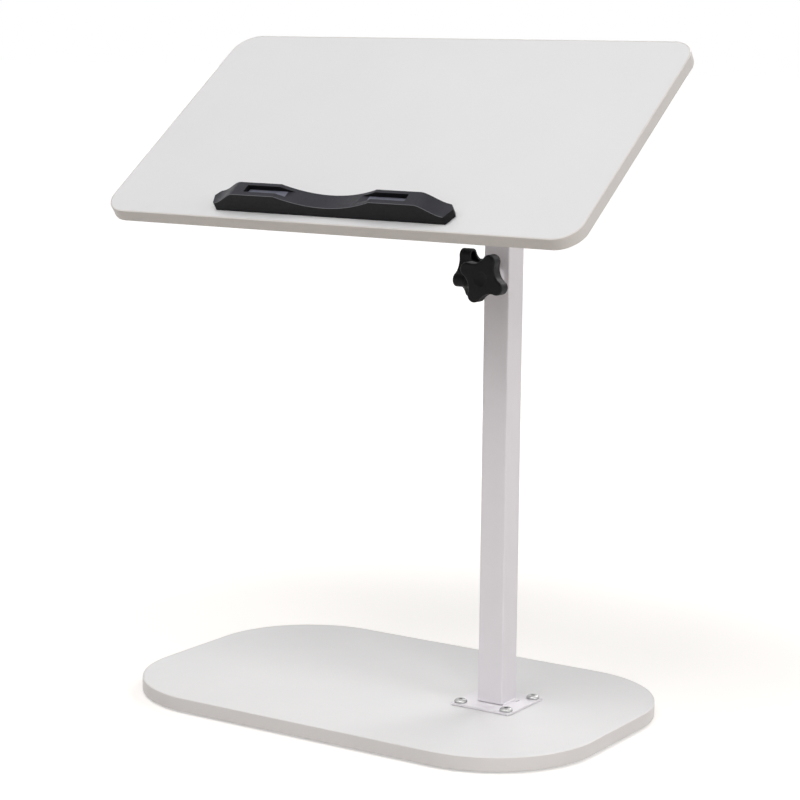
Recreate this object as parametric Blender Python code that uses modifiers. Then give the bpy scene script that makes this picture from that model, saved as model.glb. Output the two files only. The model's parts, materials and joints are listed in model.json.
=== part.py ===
"""Height-adjustable side table with a tilting top on one offset square column.

Units are metres and +Z is up.  X runs along the long side of the boards, Y points away from
the user, and the origin lies on the floor under the middle of the base board.
The table stands at the height and the tilt at which it was photographed.
"""

import math

import bmesh
import bpy
from mathutils import Matrix, Vector

# Fits
TOUCH_GAP = 0.0003            # left between pieces that touch
CUT_OVERRUN = 0.002           # how far a cutter passes the face that it opens

# Base board, its edge band and its feet
BASE_WIDTH = 0.550
BASE_DEPTH = 0.350
BASE_CORNER_RADIUS = 0.120
BASE_THICKNESS = 0.015
EDGE_BAND_THICKNESS = 0.0015
EDGE_BAND_ROUNDING = 0.0010
FOOT_PAD_RADIUS = 0.014
FOOT_PAD_THICKNESS = 0.002
FOOT_EDGE_DISTANCE = 0.035    # foot centre to the rim, along the corner's diagonal

# Column and its flange on the base
COLUMN_X = 0.1265             # the column stands off the middle, towards the right
COLUMN_Y = 0.006              # and a little behind it
FLANGE_THICKNESS = 0.0025
FLANGE_CORNER_RADIUS = 0.003
FLANGE_SCREW_SPACING = 0.056
FLANGE_SCREW_EDGE_DISTANCE = 0.008
FLANGE_SLOT_LENGTH = 0.0085
FLANGE_SLOT_WIDTH = 0.002
FLANGE_SLOT_CLEARANCE = 0.004     # slot's side to the tube's face
FLANGE_SLOT_SET_BACK = 0.009      # slot's middle behind the tube's middle
TUBE_WIDTH = 0.030
TUBE_WALL = 0.0012
TUBE_CORNER_RADIUS = 0.0015
TUBE_INSIDE_RADIUS = 0.0006
TUBE_LENGTH = 0.4985
TUBE_FOOT_GAP = 0.0008        # shadow gap under the tube; the two side welds bridge it
WELD_LEG = 0.0022
WELD_LENGTH = 0.024

# Flange screws and the threaded inserts that they turn into
FLANGE_SCREW_RADIUS = 0.003
FLANGE_SCREW_LENGTH = 0.0135
FLANGE_SCREW_HEAD_RADIUS = 0.007
FLANGE_SCREW_HEAD_HEIGHT = 0.0032
FLANGE_SCREW_FACE_RADIUS = 0.0036      # flat round the socket
FLANGE_SCREW_SOCKET_RADIUS = 0.0023    # across the corners of the hexagon
FLANGE_SCREW_SOCKET_DEPTH = 0.0018
INSERT_RADIUS = 0.0046
INSERT_LENGTH = 0.0125

# Sliding mast: inner tube, guide collar and bottom plug
MAST_WIDTH = 0.025
MAST_WALL = 0.0015
MAST_CORNER_RADIUS = 0.0022
MAST_LENGTH = 0.420
MAST_EXPOSURE = 0.0504        # bare length between the outer tube and the fork, as photographed
COLLAR_LIP_THICKNESS = 0.002
COLLAR_SLEEVE_DEPTH = 0.025
PLUG_CAP_HEIGHT = 0.010
PLUG_SPIGOT_HEIGHT = 0.015

# Clamp screws: boss on the tube, stud, pad and star knob
CLAMP_BELOW_TUBE_TOP = 0.044
BOSS_RADIUS = 0.0095
BOSS_LENGTH = 0.0207
BOSS_CHAMFER = 0.0008
STUD_RADIUS = 0.004
STUD_COVER = 0.0022           # plastic left between the stud's end and the knob's dish
PAD_THICKNESS = 0.002
KNOB_CLEARANCE = 0.0022       # boss to knob hub while the clamp is tight
BOSS_IN_KNOB = 0.0023         # how far the boss reaches into the knob's hollow
KNOB_HUB_RADIUS = 0.0085
KNOB_THICKNESS = 0.0135
KNOB_TIP_RADIUS = 0.027
KNOB_VALLEY_RADIUS = 0.0168
KNOB_LOBE_RADIUS = 0.0074
KNOB_ROUNDING = 0.0022
KNOB_WALL = 0.0024
KNOB_RECESS_DEPTH = 0.0085
KNOB_DISH_RADIUS = 0.0085
KNOB_DISH_DEPTH = 0.0010
KNOB_LOBES = 4                # one lobe each quarter turn
FRONT_KNOB_TURN = math.radians(64)
SIDE_KNOB_TURN = math.radians(72.5)

# Tilt hinge: fork on the mast, bracket under the top, pivot bolt and its knob
FORK_WIDTH = 0.026            # between the fork's ears
FORK_EAR_THICKNESS = 0.0025
FORK_EAR_RADIUS = 0.012
FORK_BASE_THICKNESS = 0.003
PIVOT_RISE = 0.018            # fork base to pivot axis
PIVOT_BOLT_RADIUS = 0.004
PIVOT_HEAD_RADIUS = 0.0075    # across the corners of the hexagon
PIVOT_HEAD_THICKNESS = 0.0053
WASHER_THICKNESS = 0.0010
WASHER_RADIUS = 0.010
BRACKET_EAR_THICKNESS = 0.0025
BRACKET_EAR_RADIUS = 0.011
BRACKET_EAR_ROOT = 0.036      # ear's width where it meets the plate
BRACKET_WIDTH = 0.080
BRACKET_DEPTH = 0.060
BRACKET_THICKNESS = 0.0025
BRACKET_CORNER_RADIUS = 0.006
BRACKET_SCREW_INSET = 0.008
SPACER_RADIUS = 0.007
TILT_KNOB_SHARE = 0.70        # the tilt knob is a smaller star of the same pattern
TILT_KNOB_STANDOFF = 0.0012   # its hub reaches this far below its lobes
TILT_KNOB_TURN = math.radians(20)
TILT_WASHER_THICKNESS = 0.0015
TILT_WASHER_RADIUS = 0.0095

# Small wood screws
WOOD_SCREW_RADIUS = 0.002
WOOD_SCREW_HEAD_RADIUS = 0.004
WOOD_SCREW_HEAD_HEIGHT = 0.0022
WOOD_SCREW_FACE_RADIUS = 0.0028
BRACKET_SCREW_BITE = 0.009    # thread in the board

# Tilting top
TOP_WIDTH = 0.580
TOP_DEPTH = 0.315
TOP_CORNER_RADIUS = 0.028
TOP_THICKNESS = 0.014
TOP_TILT = math.radians(36)
HINGE_DROP = 0.025            # pivot axis to the underside of the top
HINGE_OFFSET = 0.0016         # pivot to the middle of the top, along its depth

# Stop ledge with its two pen pockets
LEDGE_CENTRE_X = 0.001
LEDGE_LENGTH = 0.293
LEDGE_DEPTH = 0.0203
LEDGE_EDGE_DISTANCE = 0.011   # ledge's front to the near edge of the top
LEDGE_HEIGHT = 0.0228         # of the two raised parts
LEDGE_VALLEY_HEIGHT = 0.0116
LEDGE_LIP_HEIGHT = 0.0090     # at the two ends
LEDGE_VALLEY_HALF = 0.0585    # half length of the hollow between the raised parts
LEDGE_SLOPE_LENGTH = 0.0337
LEDGE_LIP_LENGTH = 0.0018     # flat end beyond each slope
LEDGE_FRONT_CORNER_CUT = 0.0050
LEDGE_BACK_CORNER_CUT = 0.0042
LEDGE_TIP_FROM_FRONT = 0.013
LEDGE_ROUNDING = 0.0012
POCKET_WIDTH = 0.0105
POCKET_DEPTH = 0.0058
POCKET_FROM_FRONT = 0.0055
POCKET_INTO_VALLEY = 0.0205   # the pocket's floor runs out on the slope of the hollow
POCKET_END_WALL = 0.012       # pocket's outer end to the end of the raised part
POCKET_CORNER_RADIUS = 0.0012
LEDGE_SCREW_BITE = 0.010

# Fineness of round shapes
BASE_CORNER_STEPS = 16
TOP_CORNER_STEPS = 7
SMALL_CORNER_STEPS = 3
HEXAGON = 6
SCREW_STEPS = 12
ROUND_STEPS = 24
DOME_STEPS = 3
LOBE_STEPS = 6
VALLEY_STEPS = 4
CURVE_STEPS = 6
EAR_STEPS = 12
EDGE_STEPS = 2
ROUND_PROFILE_SHARE = 0.5     # a bevel whose section is an arc
MERGE_DISTANCE = 0.00005
SQUARE_EDGE = math.radians(60)    # edges that turn more than this are rounded
SMOOTH_EDGE = math.radians(35)    # edges that turn less than this are shaded smooth
FLAT_EDGE = math.radians(1)       # edges that turn less than this lie inside one flat face

# Places worked out from the sizes
FLANGE_WIDTH = FLANGE_SCREW_SPACING + 2 * FLANGE_SCREW_EDGE_DISTANCE
BASE_UNDERSIDE_Z = FOOT_PAD_THICKNESS + TOUCH_GAP
BASE_TOP_Z = BASE_UNDERSIDE_Z + BASE_THICKNESS
FLANGE_UNDERSIDE_Z = BASE_TOP_Z + TOUCH_GAP
FLANGE_TOP_Z = FLANGE_UNDERSIDE_Z + FLANGE_THICKNESS
TUBE_BOTTOM_Z = FLANGE_TOP_Z + TUBE_FOOT_GAP
TUBE_TOP_Z = TUBE_BOTTOM_Z + TUBE_LENGTH
CLAMP_Z = TUBE_TOP_Z - CLAMP_BELOW_TUBE_TOP
MAST_TOP_Z = TUBE_TOP_Z + MAST_EXPOSURE
FORK_BASE_Z = MAST_TOP_Z + TOUCH_GAP
PIVOT_Z = FORK_BASE_Z + FORK_BASE_THICKNESS + PIVOT_RISE
FORK_OUTSIDE = FORK_WIDTH / 2 + FORK_EAR_THICKNESS
BRACKET_EAR_OUTSIDE = FORK_WIDTH / 2 - WASHER_THICKNESS - 2 * TOUCH_GAP
BRACKET_TOP = HINGE_DROP - TOUCH_GAP
BRACKET_UNDERSIDE = BRACKET_TOP - BRACKET_THICKNESS
TOP_MIDDLE = Vector((-COLUMN_X, HINGE_OFFSET, HINGE_DROP))
LEDGE_FRONT = LEDGE_EDGE_DISTANCE - TOP_DEPTH / 2
LEDGE_RAISED_END = LEDGE_LENGTH / 2 - LEDGE_LIP_LENGTH - LEDGE_SLOPE_LENGTH
POCKET_INNER_END = LEDGE_VALLEY_HALF - POCKET_INTO_VALLEY
POCKET_OUTER_END = LEDGE_RAISED_END - POCKET_END_WALL
LEDGE_MIDDLE = Vector((LEDGE_CENTRE_X, LEDGE_FRONT + LEDGE_DEPTH / 2, TOP_THICKNESS + TOUCH_GAP))
BOLT_HOLE_RADIUS = PIVOT_BOLT_RADIUS + TOUCH_GAP
WOOD_SCREW_HOLE_RADIUS = WOOD_SCREW_RADIUS + TOUCH_GAP

ALONG_X = Matrix(((0, 0, 1), (1, 0, 0), (0, 1, 0))).to_4x4()    # outline in Y and Z, pushed along X
ALONG_Y = Matrix(((1, 0, 0), (0, 0, -1), (0, 1, 0))).to_4x4()   # outline in X and Z, pushed along Y
FORWARD = Vector((0, -1, 0))
LEFT = Vector((-1, 0, 0))
RIGHT = Vector((1, 0, 0))
UP = Vector((0, 0, 1))


for old in list(bpy.data.objects):
    bpy.data.objects.remove(old, do_unlink=True)

parts = bpy.data.collections.new("tilting_side_table")
cutters = bpy.data.collections.new("cutters")
bpy.context.scene.collection.children.link(parts)
bpy.context.scene.collection.children.link(cutters)


def material(name, colour, roughness, metallic=0.0):
    finish = bpy.data.materials.new(name)
    finish.use_nodes = True
    shader = finish.node_tree.nodes["Principled BSDF"]
    shader.inputs["Base Color"].default_value = (*colour, 1.0)
    shader.inputs["Roughness"].default_value = roughness
    shader.inputs["Metallic"].default_value = metallic
    return finish


white_board = material("white_board", (0.80, 0.79, 0.79), 0.45)
white_edge = material("white_edge", (0.74, 0.72, 0.72), 0.40)
white_paint = material("white_paint", (0.76, 0.74, 0.77), 0.35)
black_plastic = material("black_plastic", (0.016, 0.016, 0.018), 0.40)
zinc = material("zinc", (0.62, 0.62, 0.60), 0.35, 1.0)
brass = material("brass", (0.72, 0.55, 0.28), 0.35, 1.0)
nylon = material("nylon", (0.70, 0.69, 0.64), 0.50)
rubber = material("rubber", (0.06, 0.06, 0.06), 0.80)


def finished_mesh(temporary):
    """The mesh that a temporary object shows, welded, with its faces pointing out."""
    bpy.context.scene.collection.objects.link(temporary)
    graph = bpy.context.evaluated_depsgraph_get()
    mesh = bpy.data.meshes.new_from_object(temporary.evaluated_get(graph))
    mesh.transform(temporary.matrix_world)
    bpy.data.objects.remove(temporary, do_unlink=True)
    shape = bmesh.new()
    shape.from_mesh(mesh)
    bmesh.ops.remove_doubles(shape, verts=shape.verts, dist=MERGE_DISTANCE)
    bmesh.ops.recalc_face_normals(shape, faces=shape.faces)
    shape.to_mesh(mesh)
    shape.free()
    return mesh


def prism(loops, low, high):
    """A flat outline, with any holes as further loops, pushed from z = low to z = high."""
    curve = bpy.data.curves.new("outline", "CURVE")
    curve.dimensions = "2D"
    curve.fill_mode = "BOTH"
    curve.extrude = (high - low) / 2
    for loop in loops:
        spline = curve.splines.new("POLY")
        spline.points.add(len(loop) - 1)
        spline.use_cyclic_u = True
        for point, (x, y) in zip(spline.points, loop):
            point.co = (x, y, 0, 1)
    mesh = finished_mesh(bpy.data.objects.new("outline", curve))
    bpy.data.curves.remove(curve)
    mesh.transform(Matrix.Translation((0, 0, (low + high) / 2)))
    return mesh


def turned(profile, steps, closed=False):
    """A profile of (radius, height) points, listed down its outer side, turned round Z."""
    mesh = bpy.data.meshes.new("profile")
    count = len(profile)
    edges = [(i, (i + 1) % count) for i in range(count if closed else count - 1)]
    mesh.from_pydata([(radius, 0, height) for radius, height in profile], edges, [])
    lathe = bpy.data.objects.new("profile", mesh)
    screw = lathe.modifiers.new("Screw", "SCREW")
    screw.steps = steps
    screw.render_steps = steps
    screw.use_merge_vertices = True
    screw.merge_threshold = MERGE_DISTANCE
    solid = finished_mesh(lathe)
    bpy.data.meshes.remove(mesh)
    return solid


def rod(radius, low, high, steps):
    """A solid cylinder along Z."""
    shape = bmesh.new()
    bmesh.ops.create_cone(shape, cap_ends=True, segments=steps, radius1=radius, radius2=radius,
                          depth=high - low)
    bmesh.ops.translate(shape, verts=shape.verts, vec=(0, 0, (low + high) / 2))
    mesh = bpy.data.meshes.new("rod")
    shape.to_mesh(mesh)
    shape.free()
    return mesh


def ring(bore, radius, low, high):
    """A washer or sleeve along Z."""
    corners = [(bore, high), (radius, high), (radius, low), (bore, low)]
    return turned(corners, ROUND_STEPS, closed=True)


def laid(mesh, frame):
    mesh.transform(frame)
    return mesh


def repeated(mesh, places):
    """One cutter that holds the given mesh once at each place."""
    joined = bmesh.new()
    for place in places:
        first_new = len(joined.verts)
        joined.from_mesh(mesh)
        joined.verts.ensure_lookup_table()
        bmesh.ops.translate(joined, vec=place, verts=joined.verts[first_new:])
    together = bpy.data.meshes.new("repeated")
    joined.to_mesh(together)
    joined.free()
    return together


def circle(radius, steps, middle=(0, 0)):
    turns = [2 * math.pi * i / steps for i in range(steps)]
    return [(middle[0] + radius * math.cos(t), middle[1] + radius * math.sin(t)) for t in turns]


def rounded_rectangle(width, depth, radius, steps, middle=(0, 0)):
    points = []
    for quarter, (side_x, side_y) in enumerate(((1, 1), (-1, 1), (-1, -1), (1, -1))):
        centre_x = middle[0] + side_x * (width / 2 - radius)
        centre_y = middle[1] + side_y * (depth / 2 - radius)
        for i in range(steps + 1):
            turn = math.pi / 2 * (quarter + i / steps)
            points.append((centre_x + radius * math.cos(turn), centre_y + radius * math.sin(turn)))
    return points


def square(width, radius):
    return rounded_rectangle(width, width, radius, SMALL_CORNER_STEPS)


def four_places(width, depth):
    """The corners of a rectangle round the origin."""
    return [(side_x * width / 2, side_y * depth / 2) for side_x in (-1, 1) for side_y in (-1, 1)]


def frame_at(name, matrix, parent=None):
    """An empty that pieces hang on; a moving piece's empty lies on its joint axis."""
    holder = bpy.data.objects.new(name, None)
    parts.objects.link(holder)
    holder.parent = parent
    holder.matrix_local = matrix
    bpy.context.view_layer.update()
    return holder


def outward_frame(x, y, z, outward):
    """A frame whose +Z points out of a face and whose +Y points up."""
    turn = Matrix((UP.cross(outward), UP, outward)).transposed().to_4x4()
    return Matrix.Translation((x, y, z)) @ turn


def part(name, mesh, finish, parent, place=(0, 0, 0)):
    if not mesh.materials:
        mesh.materials.append(finish)
        mesh.shade_smooth()
        mesh.set_sharp_from_angle(angle=SMOOTH_EDGE)
    piece = bpy.data.objects.new(name, mesh)
    parts.objects.link(piece)
    piece.parent = parent
    piece.location = place
    return piece


def combine(piece, tool_mesh, operation, name):
    tool = bpy.data.objects.new(name, tool_mesh)
    cutters.objects.link(tool)
    tool.parent = piece.parent
    tool.location = piece.location
    tool.hide_render = True
    tool.display_type = "WIRE"
    boolean = piece.modifiers.new(name, "BOOLEAN")
    boolean.operation = operation
    boolean.solver = "EXACT"
    boolean.object = tool


def cut(piece, tool_mesh, name):
    combine(piece, tool_mesh, "DIFFERENCE", name)


def join(piece, tool_mesh, name):
    combine(piece, tool_mesh, "UNION", name)


def rounded(mesh, radius, chosen):
    """The mesh with its flat faces made whole and then the chosen edges rounded."""
    shape = bmesh.new()
    shape.from_mesh(mesh)
    bmesh.ops.dissolve_limit(shape, angle_limit=FLAT_EDGE, verts=shape.verts, edges=shape.edges)
    edges = [edge for edge in shape.edges if chosen(edge)]
    bmesh.ops.bevel(shape, geom=edges, offset=radius, segments=EDGE_STEPS, profile=ROUND_PROFILE_SHARE,
                    affect="EDGES", clamp_overlap=True)
    shape.to_mesh(mesh)
    shape.free()
    return mesh


def edge_band(width, depth, corner, thickness, steps):
    """A band round a board, its two outer long edges rounded."""
    outside = rounded_rectangle(width, depth, corner, steps)
    inside = rounded_rectangle(width - 2 * EDGE_BAND_THICKNESS, depth - 2 * EDGE_BAND_THICKNESS,
                               corner - EDGE_BAND_THICKNESS, steps)
    outer_points = [Vector(point) for point in outside]

    def on_outside(vert):
        return min((vert.co.xy - point).length for point in outer_points) < MERGE_DISTANCE

    def on_outer_rim(edge):
        low_end, high_end = sorted(vert.co.z for vert in edge.verts)
        return (high_end - low_end < MERGE_DISTANCE and edge.calc_face_angle(0) > SQUARE_EDGE
                and all(on_outside(vert) for vert in edge.verts))

    return rounded(prism([outside, inside], 0, thickness), EDGE_BAND_ROUNDING, on_outer_rim)


def board_core(width, depth, corner, thickness, steps):
    step_in = EDGE_BAND_THICKNESS + TOUCH_GAP
    outline = rounded_rectangle(width - 2 * step_in, depth - 2 * step_in, corner - step_in, steps)
    return prism([outline], 0, thickness)


def make_base(floor):
    """Round-cornered board, its edge band, four pads under it and four threaded inserts in it."""
    along = (BASE_CORNER_RADIUS - FOOT_EDGE_DISTANCE) / math.sqrt(2)
    foot_span_x = BASE_WIDTH - 2 * BASE_CORNER_RADIUS + 2 * along
    foot_span_y = BASE_DEPTH - 2 * BASE_CORNER_RADIUS + 2 * along
    pad = rod(FOOT_PAD_RADIUS, 0, FOOT_PAD_THICKNESS, ROUND_STEPS)
    for number, (x, y) in enumerate(four_places(foot_span_x, foot_span_y), start=1):
        part(f"foot_pad_{number}", pad, rubber, floor, (x, y, 0))

    sizes = (BASE_WIDTH, BASE_DEPTH, BASE_CORNER_RADIUS, BASE_THICKNESS, BASE_CORNER_STEPS)
    place = (0, 0, BASE_UNDERSIDE_Z)
    board = part("base_board", board_core(*sizes), white_board, floor, place)
    part("base_edge_band", edge_band(*sizes), white_edge, floor, place)

    screw_places = four_places(FLANGE_SCREW_SPACING, FLANGE_SCREW_SPACING)
    holes = rod(INSERT_RADIUS + TOUCH_GAP, BASE_THICKNESS - INSERT_LENGTH - 2 * TOUCH_GAP,
                BASE_THICKNESS + CUT_OVERRUN, ROUND_STEPS)
    at_column = [(COLUMN_X + x, COLUMN_Y + y, 0) for x, y in screw_places]
    cut(board, repeated(holes, at_column), "insert_holes")
    insert = ring(FLANGE_SCREW_RADIUS + TOUCH_GAP, INSERT_RADIUS, -INSERT_LENGTH - TOUCH_GAP, -TOUCH_GAP)
    for number, (x, y, _) in enumerate(at_column, start=1):
        part(f"base_insert_nut_{number}", insert, brass, floor, (x, y, BASE_TOP_Z))


def flange_screw():
    """A button-head screw with a hexagon socket; its head rests on z = 0."""
    dome = []
    for i in range(DOME_STEPS + 1):
        turn = math.pi / 2 * i / DOME_STEPS
        swell = (FLANGE_SCREW_HEAD_RADIUS - FLANGE_SCREW_FACE_RADIUS) * math.sin(turn)
        dome.append((FLANGE_SCREW_FACE_RADIUS + swell, FLANGE_SCREW_HEAD_HEIGHT * math.cos(turn)))
    shank = [(FLANGE_SCREW_RADIUS, 0), (FLANGE_SCREW_RADIUS, -FLANGE_SCREW_LENGTH)]
    profile = [(0, FLANGE_SCREW_HEAD_HEIGHT)] + dome + shank + [(0, -FLANGE_SCREW_LENGTH)]
    socket = rod(FLANGE_SCREW_SOCKET_RADIUS, FLANGE_SCREW_HEAD_HEIGHT - FLANGE_SCREW_SOCKET_DEPTH,
                 FLANGE_SCREW_HEAD_HEIGHT + CUT_OVERRUN, HEXAGON)
    blank = bpy.data.objects.new("blank", turned(profile, ROUND_STEPS))
    cut(blank, socket, "screw_socket")
    return finished_mesh(blank)


def make_flange(column):
    """Square plate under the tube, its four screws and the welds at the tube's two sides."""
    slot_x = TUBE_WIDTH / 2 + FLANGE_SLOT_CLEARANCE + FLANGE_SLOT_WIDTH / 2
    screw_places = four_places(FLANGE_SCREW_SPACING, FLANGE_SCREW_SPACING)
    loops = [square(FLANGE_WIDTH, FLANGE_CORNER_RADIUS)]
    loops += [circle(FLANGE_SCREW_RADIUS + TOUCH_GAP, ROUND_STEPS, place) for place in screw_places]
    loops += [rounded_rectangle(FLANGE_SLOT_WIDTH, FLANGE_SLOT_LENGTH, FLANGE_SLOT_WIDTH / 3,
                                SMALL_CORNER_STEPS, (side * slot_x, FLANGE_SLOT_SET_BACK))
              for side in (-1, 1)]
    part("flange_plate", prism(loops, FLANGE_UNDERSIDE_Z, FLANGE_TOP_Z), white_paint, column)

    screw = flange_screw()
    for number, (x, y) in enumerate(screw_places, start=1):
        part(f"flange_screw_{number}", screw, zinc, column, (x, y, FLANGE_TOP_Z + TOUCH_GAP))

    for side, name in ((-1, "left"), (1, "right")):
        near = side * (TUBE_WIDTH / 2 + TOUCH_GAP)
        triangle = [(near, 0), (near + side * WELD_LEG, 0), (near, WELD_LEG)]
        bead = laid(prism([triangle], -WELD_LENGTH / 2, WELD_LENGTH / 2), ALONG_Y)
        part(f"tube_weld_{name}", bead, white_paint, column, (0, 0, FLANGE_TOP_Z + TOUCH_GAP))


def make_outer_tube(column):
    """Square tube and the plastic collar that guides the mast at its mouth."""
    inside = TUBE_WIDTH - 2 * TUBE_WALL
    loops = [square(TUBE_WIDTH, TUBE_CORNER_RADIUS), square(inside, TUBE_INSIDE_RADIUS)]
    tube = part("outer_tube", prism(loops, TUBE_BOTTOM_Z, TUBE_TOP_Z), white_paint, column)

    lip_low = TUBE_TOP_Z + TOUCH_GAP
    lip_top = lip_low + COLLAR_LIP_THICKNESS
    sleeve_low = TUBE_TOP_Z - COLLAR_SLEEVE_DEPTH
    lip = square(TUBE_WIDTH, TUBE_CORNER_RADIUS)
    sleeve = square(inside - 2 * TOUCH_GAP, TUBE_INSIDE_RADIUS)
    opening = square(MAST_WIDTH + 2 * TOUCH_GAP, MAST_CORNER_RADIUS)
    collar = part("guide_collar", prism([lip], lip_low, lip_top), black_plastic, column)
    join(collar, prism([sleeve], sleeve_low, lip_top - COLLAR_LIP_THICKNESS / 2), "collar_sleeve")
    cut(collar, prism([opening], sleeve_low - CUT_OVERRUN, lip_top + CUT_OVERRUN), "collar_opening")
    return tube


def star_outline(share, inset=0.0):
    """Round lobes joined by round valleys, each arc running smoothly into the next."""
    tip, valley, lobe = (share * size for size in (KNOB_TIP_RADIUS, KNOB_VALLEY_RADIUS, KNOB_LOBE_RADIUS))
    half = math.pi / KNOB_LOBES
    lobe_centre = tip - lobe
    reach = lobe_centre * math.cos(half)
    rise = lobe_centre ** 2 + valley ** 2 - lobe ** 2 - 2 * valley * reach
    hollow = rise / (2 * (lobe + reach - valley))
    hollow_centre = valley + hollow
    swing = math.atan2(hollow_centre * math.sin(half), hollow_centre * math.cos(half) - lobe_centre)
    arcs = []
    for number in range(KNOB_LOBES):
        heading = 2 * half * number
        for i in range(LOBE_STEPS + 1):
            arcs.append((heading, lobe_centre, lobe - inset, heading + swing * (2 * i / LOBE_STEPS - 1)))
        between = heading + half
        for i in range(1, VALLEY_STEPS):
            swept = between + math.pi + (swing - half) * (1 - 2 * i / VALLEY_STEPS)
            arcs.append((between, hollow_centre, hollow + inset, swept))
    return [(centre * math.cos(toward) + radius * math.cos(angle),
             centre * math.sin(toward) + radius * math.sin(angle)) for toward, centre, radius, angle in arcs]


def star_knob(name, axis, hub_low, lobes_low, turn, share=1.0):
    """A star knob along +Z, hollow below, with a hub in the hollow and a shallow dish on top."""
    holder = frame_at(name + "_frame", Matrix.Rotation(turn, 4, "Z"), axis)
    top = lobes_low + KNOB_THICKNESS * share
    recess_top = lobes_low + KNOB_RECESS_DEPTH * share
    dish = KNOB_DISH_RADIUS * share
    dish_depth = KNOB_DISH_DEPTH * share
    sphere = (dish ** 2 + dish_depth ** 2) / (2 * dish_depth)

    def on_upper_rim(edge):
        return all(abs(vert.co.z - top) < MERGE_DISTANCE for vert in edge.verts)

    star = rounded(prism([star_outline(share)], lobes_low, top), KNOB_ROUNDING * share, on_upper_rim)
    knob = part(name, star, black_plastic, holder)
    recess = star_outline(share, KNOB_WALL * share)
    cut(knob, prism([recess], lobes_low - CUT_OVERRUN, recess_top), name + "_recess")
    hub = rod(KNOB_HUB_RADIUS * share, hub_low, recess_top + KNOB_WALL / 2, ROUND_STEPS)
    join(knob, hub, name + "_hub")
    bowl = [(0, top + CUT_OVERRUN), (dish, top + CUT_OVERRUN)]
    for i in range(DOME_STEPS + 1):
        turned_in = math.asin(dish / sphere) * (1 - i / DOME_STEPS)
        bowl.append((sphere * math.sin(turned_in), top - dish_depth + sphere * (1 - math.cos(turned_in))))
    cut(knob, turned(bowl, ROUND_STEPS), name + "_dish")
    stud_end = top - dish_depth - STUD_COVER
    cut(knob, rod(STUD_RADIUS + TOUCH_GAP, hub_low - CUT_OVERRUN, stud_end + TOUCH_GAP, SCREW_STEPS),
        name + "_bore")
    return stud_end


def make_clamp(side, tube, column, outward, turn):
    """Boss, pad, stud and knob on one face of the tube, in a frame on the screw's axis."""
    face = outward * TUBE_WIDTH / 2
    axis = frame_at(side + "_clamp_axis", outward_frame(face.x, face.y, CLAMP_Z, outward), column)
    bore = STUD_RADIUS + TOUCH_GAP
    hole = rod(bore, -TUBE_WALL - CUT_OVERRUN, CUT_OVERRUN, SCREW_STEPS)
    cut(tube, laid(hole, axis.matrix_local), side + "_clamp_hole")

    boss_end = TOUCH_GAP + BOSS_LENGTH
    profile = [(bore, boss_end), (BOSS_RADIUS - BOSS_CHAMFER, boss_end),
               (BOSS_RADIUS, boss_end - BOSS_CHAMFER), (BOSS_RADIUS, TOUCH_GAP), (bore, TOUCH_GAP)]
    part(side + "_boss", turned(profile, ROUND_STEPS, closed=True), white_paint, axis)

    pad_low = (MAST_WIDTH - TUBE_WIDTH) / 2 + TOUCH_GAP
    pad_top = pad_low + PAD_THICKNESS
    part(side + "_pad", rod(STUD_RADIUS, pad_low, pad_top, SCREW_STEPS), nylon, axis)

    stud_end = star_knob(side + "_knob", axis, boss_end + KNOB_CLEARANCE, boss_end - BOSS_IN_KNOB, turn)
    part(side + "_stud", rod(STUD_RADIUS, pad_top + TOUCH_GAP, stud_end, SCREW_STEPS), zinc, axis)


def make_mast(mast):
    """The inner tube and the plug that guides its foot; the frame's origin is the tube's top."""
    inside = MAST_WIDTH - 2 * MAST_WALL
    inside_corner = MAST_CORNER_RADIUS - MAST_WALL
    loops = [square(MAST_WIDTH, MAST_CORNER_RADIUS), square(inside, inside_corner)]
    part("inner_tube", prism(loops, -MAST_LENGTH, 0), white_paint, mast)

    cap_top = -MAST_LENGTH - TOUCH_GAP
    cap_low = cap_top - PLUG_CAP_HEIGHT
    cap = square(TUBE_WIDTH - 2 * TUBE_WALL - 2 * TOUCH_GAP, TUBE_INSIDE_RADIUS)
    spigot = square(inside - 2 * TOUCH_GAP, inside_corner)
    plug = part("inner_tube_plug", prism([cap], cap_low, cap_top), black_plastic, mast)
    join(plug, prism([spigot], cap_top - PLUG_CAP_HEIGHT / 2, cap_top + PLUG_SPIGOT_HEIGHT), "plug_spigot")


def ear_outline(radius, root_width, root):
    """An ear, round about a bolt hole at the origin, that runs to its root at height root."""
    arc = [(radius * math.cos(t), -math.copysign(radius, root) * math.sin(t))
           for t in (math.pi * i / EAR_STEPS for i in range(EAR_STEPS + 1))]
    return arc + [(-root_width / 2, root), (root_width / 2, root)]


def make_fork(pivot):
    """The U-shaped fork on the mast and its two washers; the frame's origin is on the pivot axis."""
    base_low = -PIVOT_RISE - FORK_BASE_THICKNESS
    base = rounded_rectangle(2 * FORK_OUTSIDE, 2 * FORK_EAR_RADIUS, TUBE_CORNER_RADIUS, SMALL_CORNER_STEPS)
    fork = part("hinge_fork", prism([base], base_low, -PIVOT_RISE), white_paint, pivot)
    outline = ear_outline(FORK_EAR_RADIUS, 2 * FORK_EAR_RADIUS, base_low + FORK_BASE_THICKNESS / 3)
    for side, name in ((-1, "left"), (1, "right")):
        near, far = sorted((side * FORK_WIDTH / 2, side * FORK_OUTSIDE))
        join(fork, laid(prism([outline], near, far), ALONG_X), f"fork_ear_{name}")
        near, far = sorted((side * (BRACKET_EAR_OUTSIDE + TOUCH_GAP), side * (FORK_WIDTH / 2 - TOUCH_GAP)))
        washer = laid(ring(BOLT_HOLE_RADIUS, WASHER_RADIUS, near, far), ALONG_X)
        part(f"friction_washer_{name}", washer, nylon, pivot)
    reach = FORK_OUTSIDE + CUT_OVERRUN
    cut(fork, laid(rod(BOLT_HOLE_RADIUS, -reach, reach, SCREW_STEPS), ALONG_X), "fork_bolt_hole")


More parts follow.
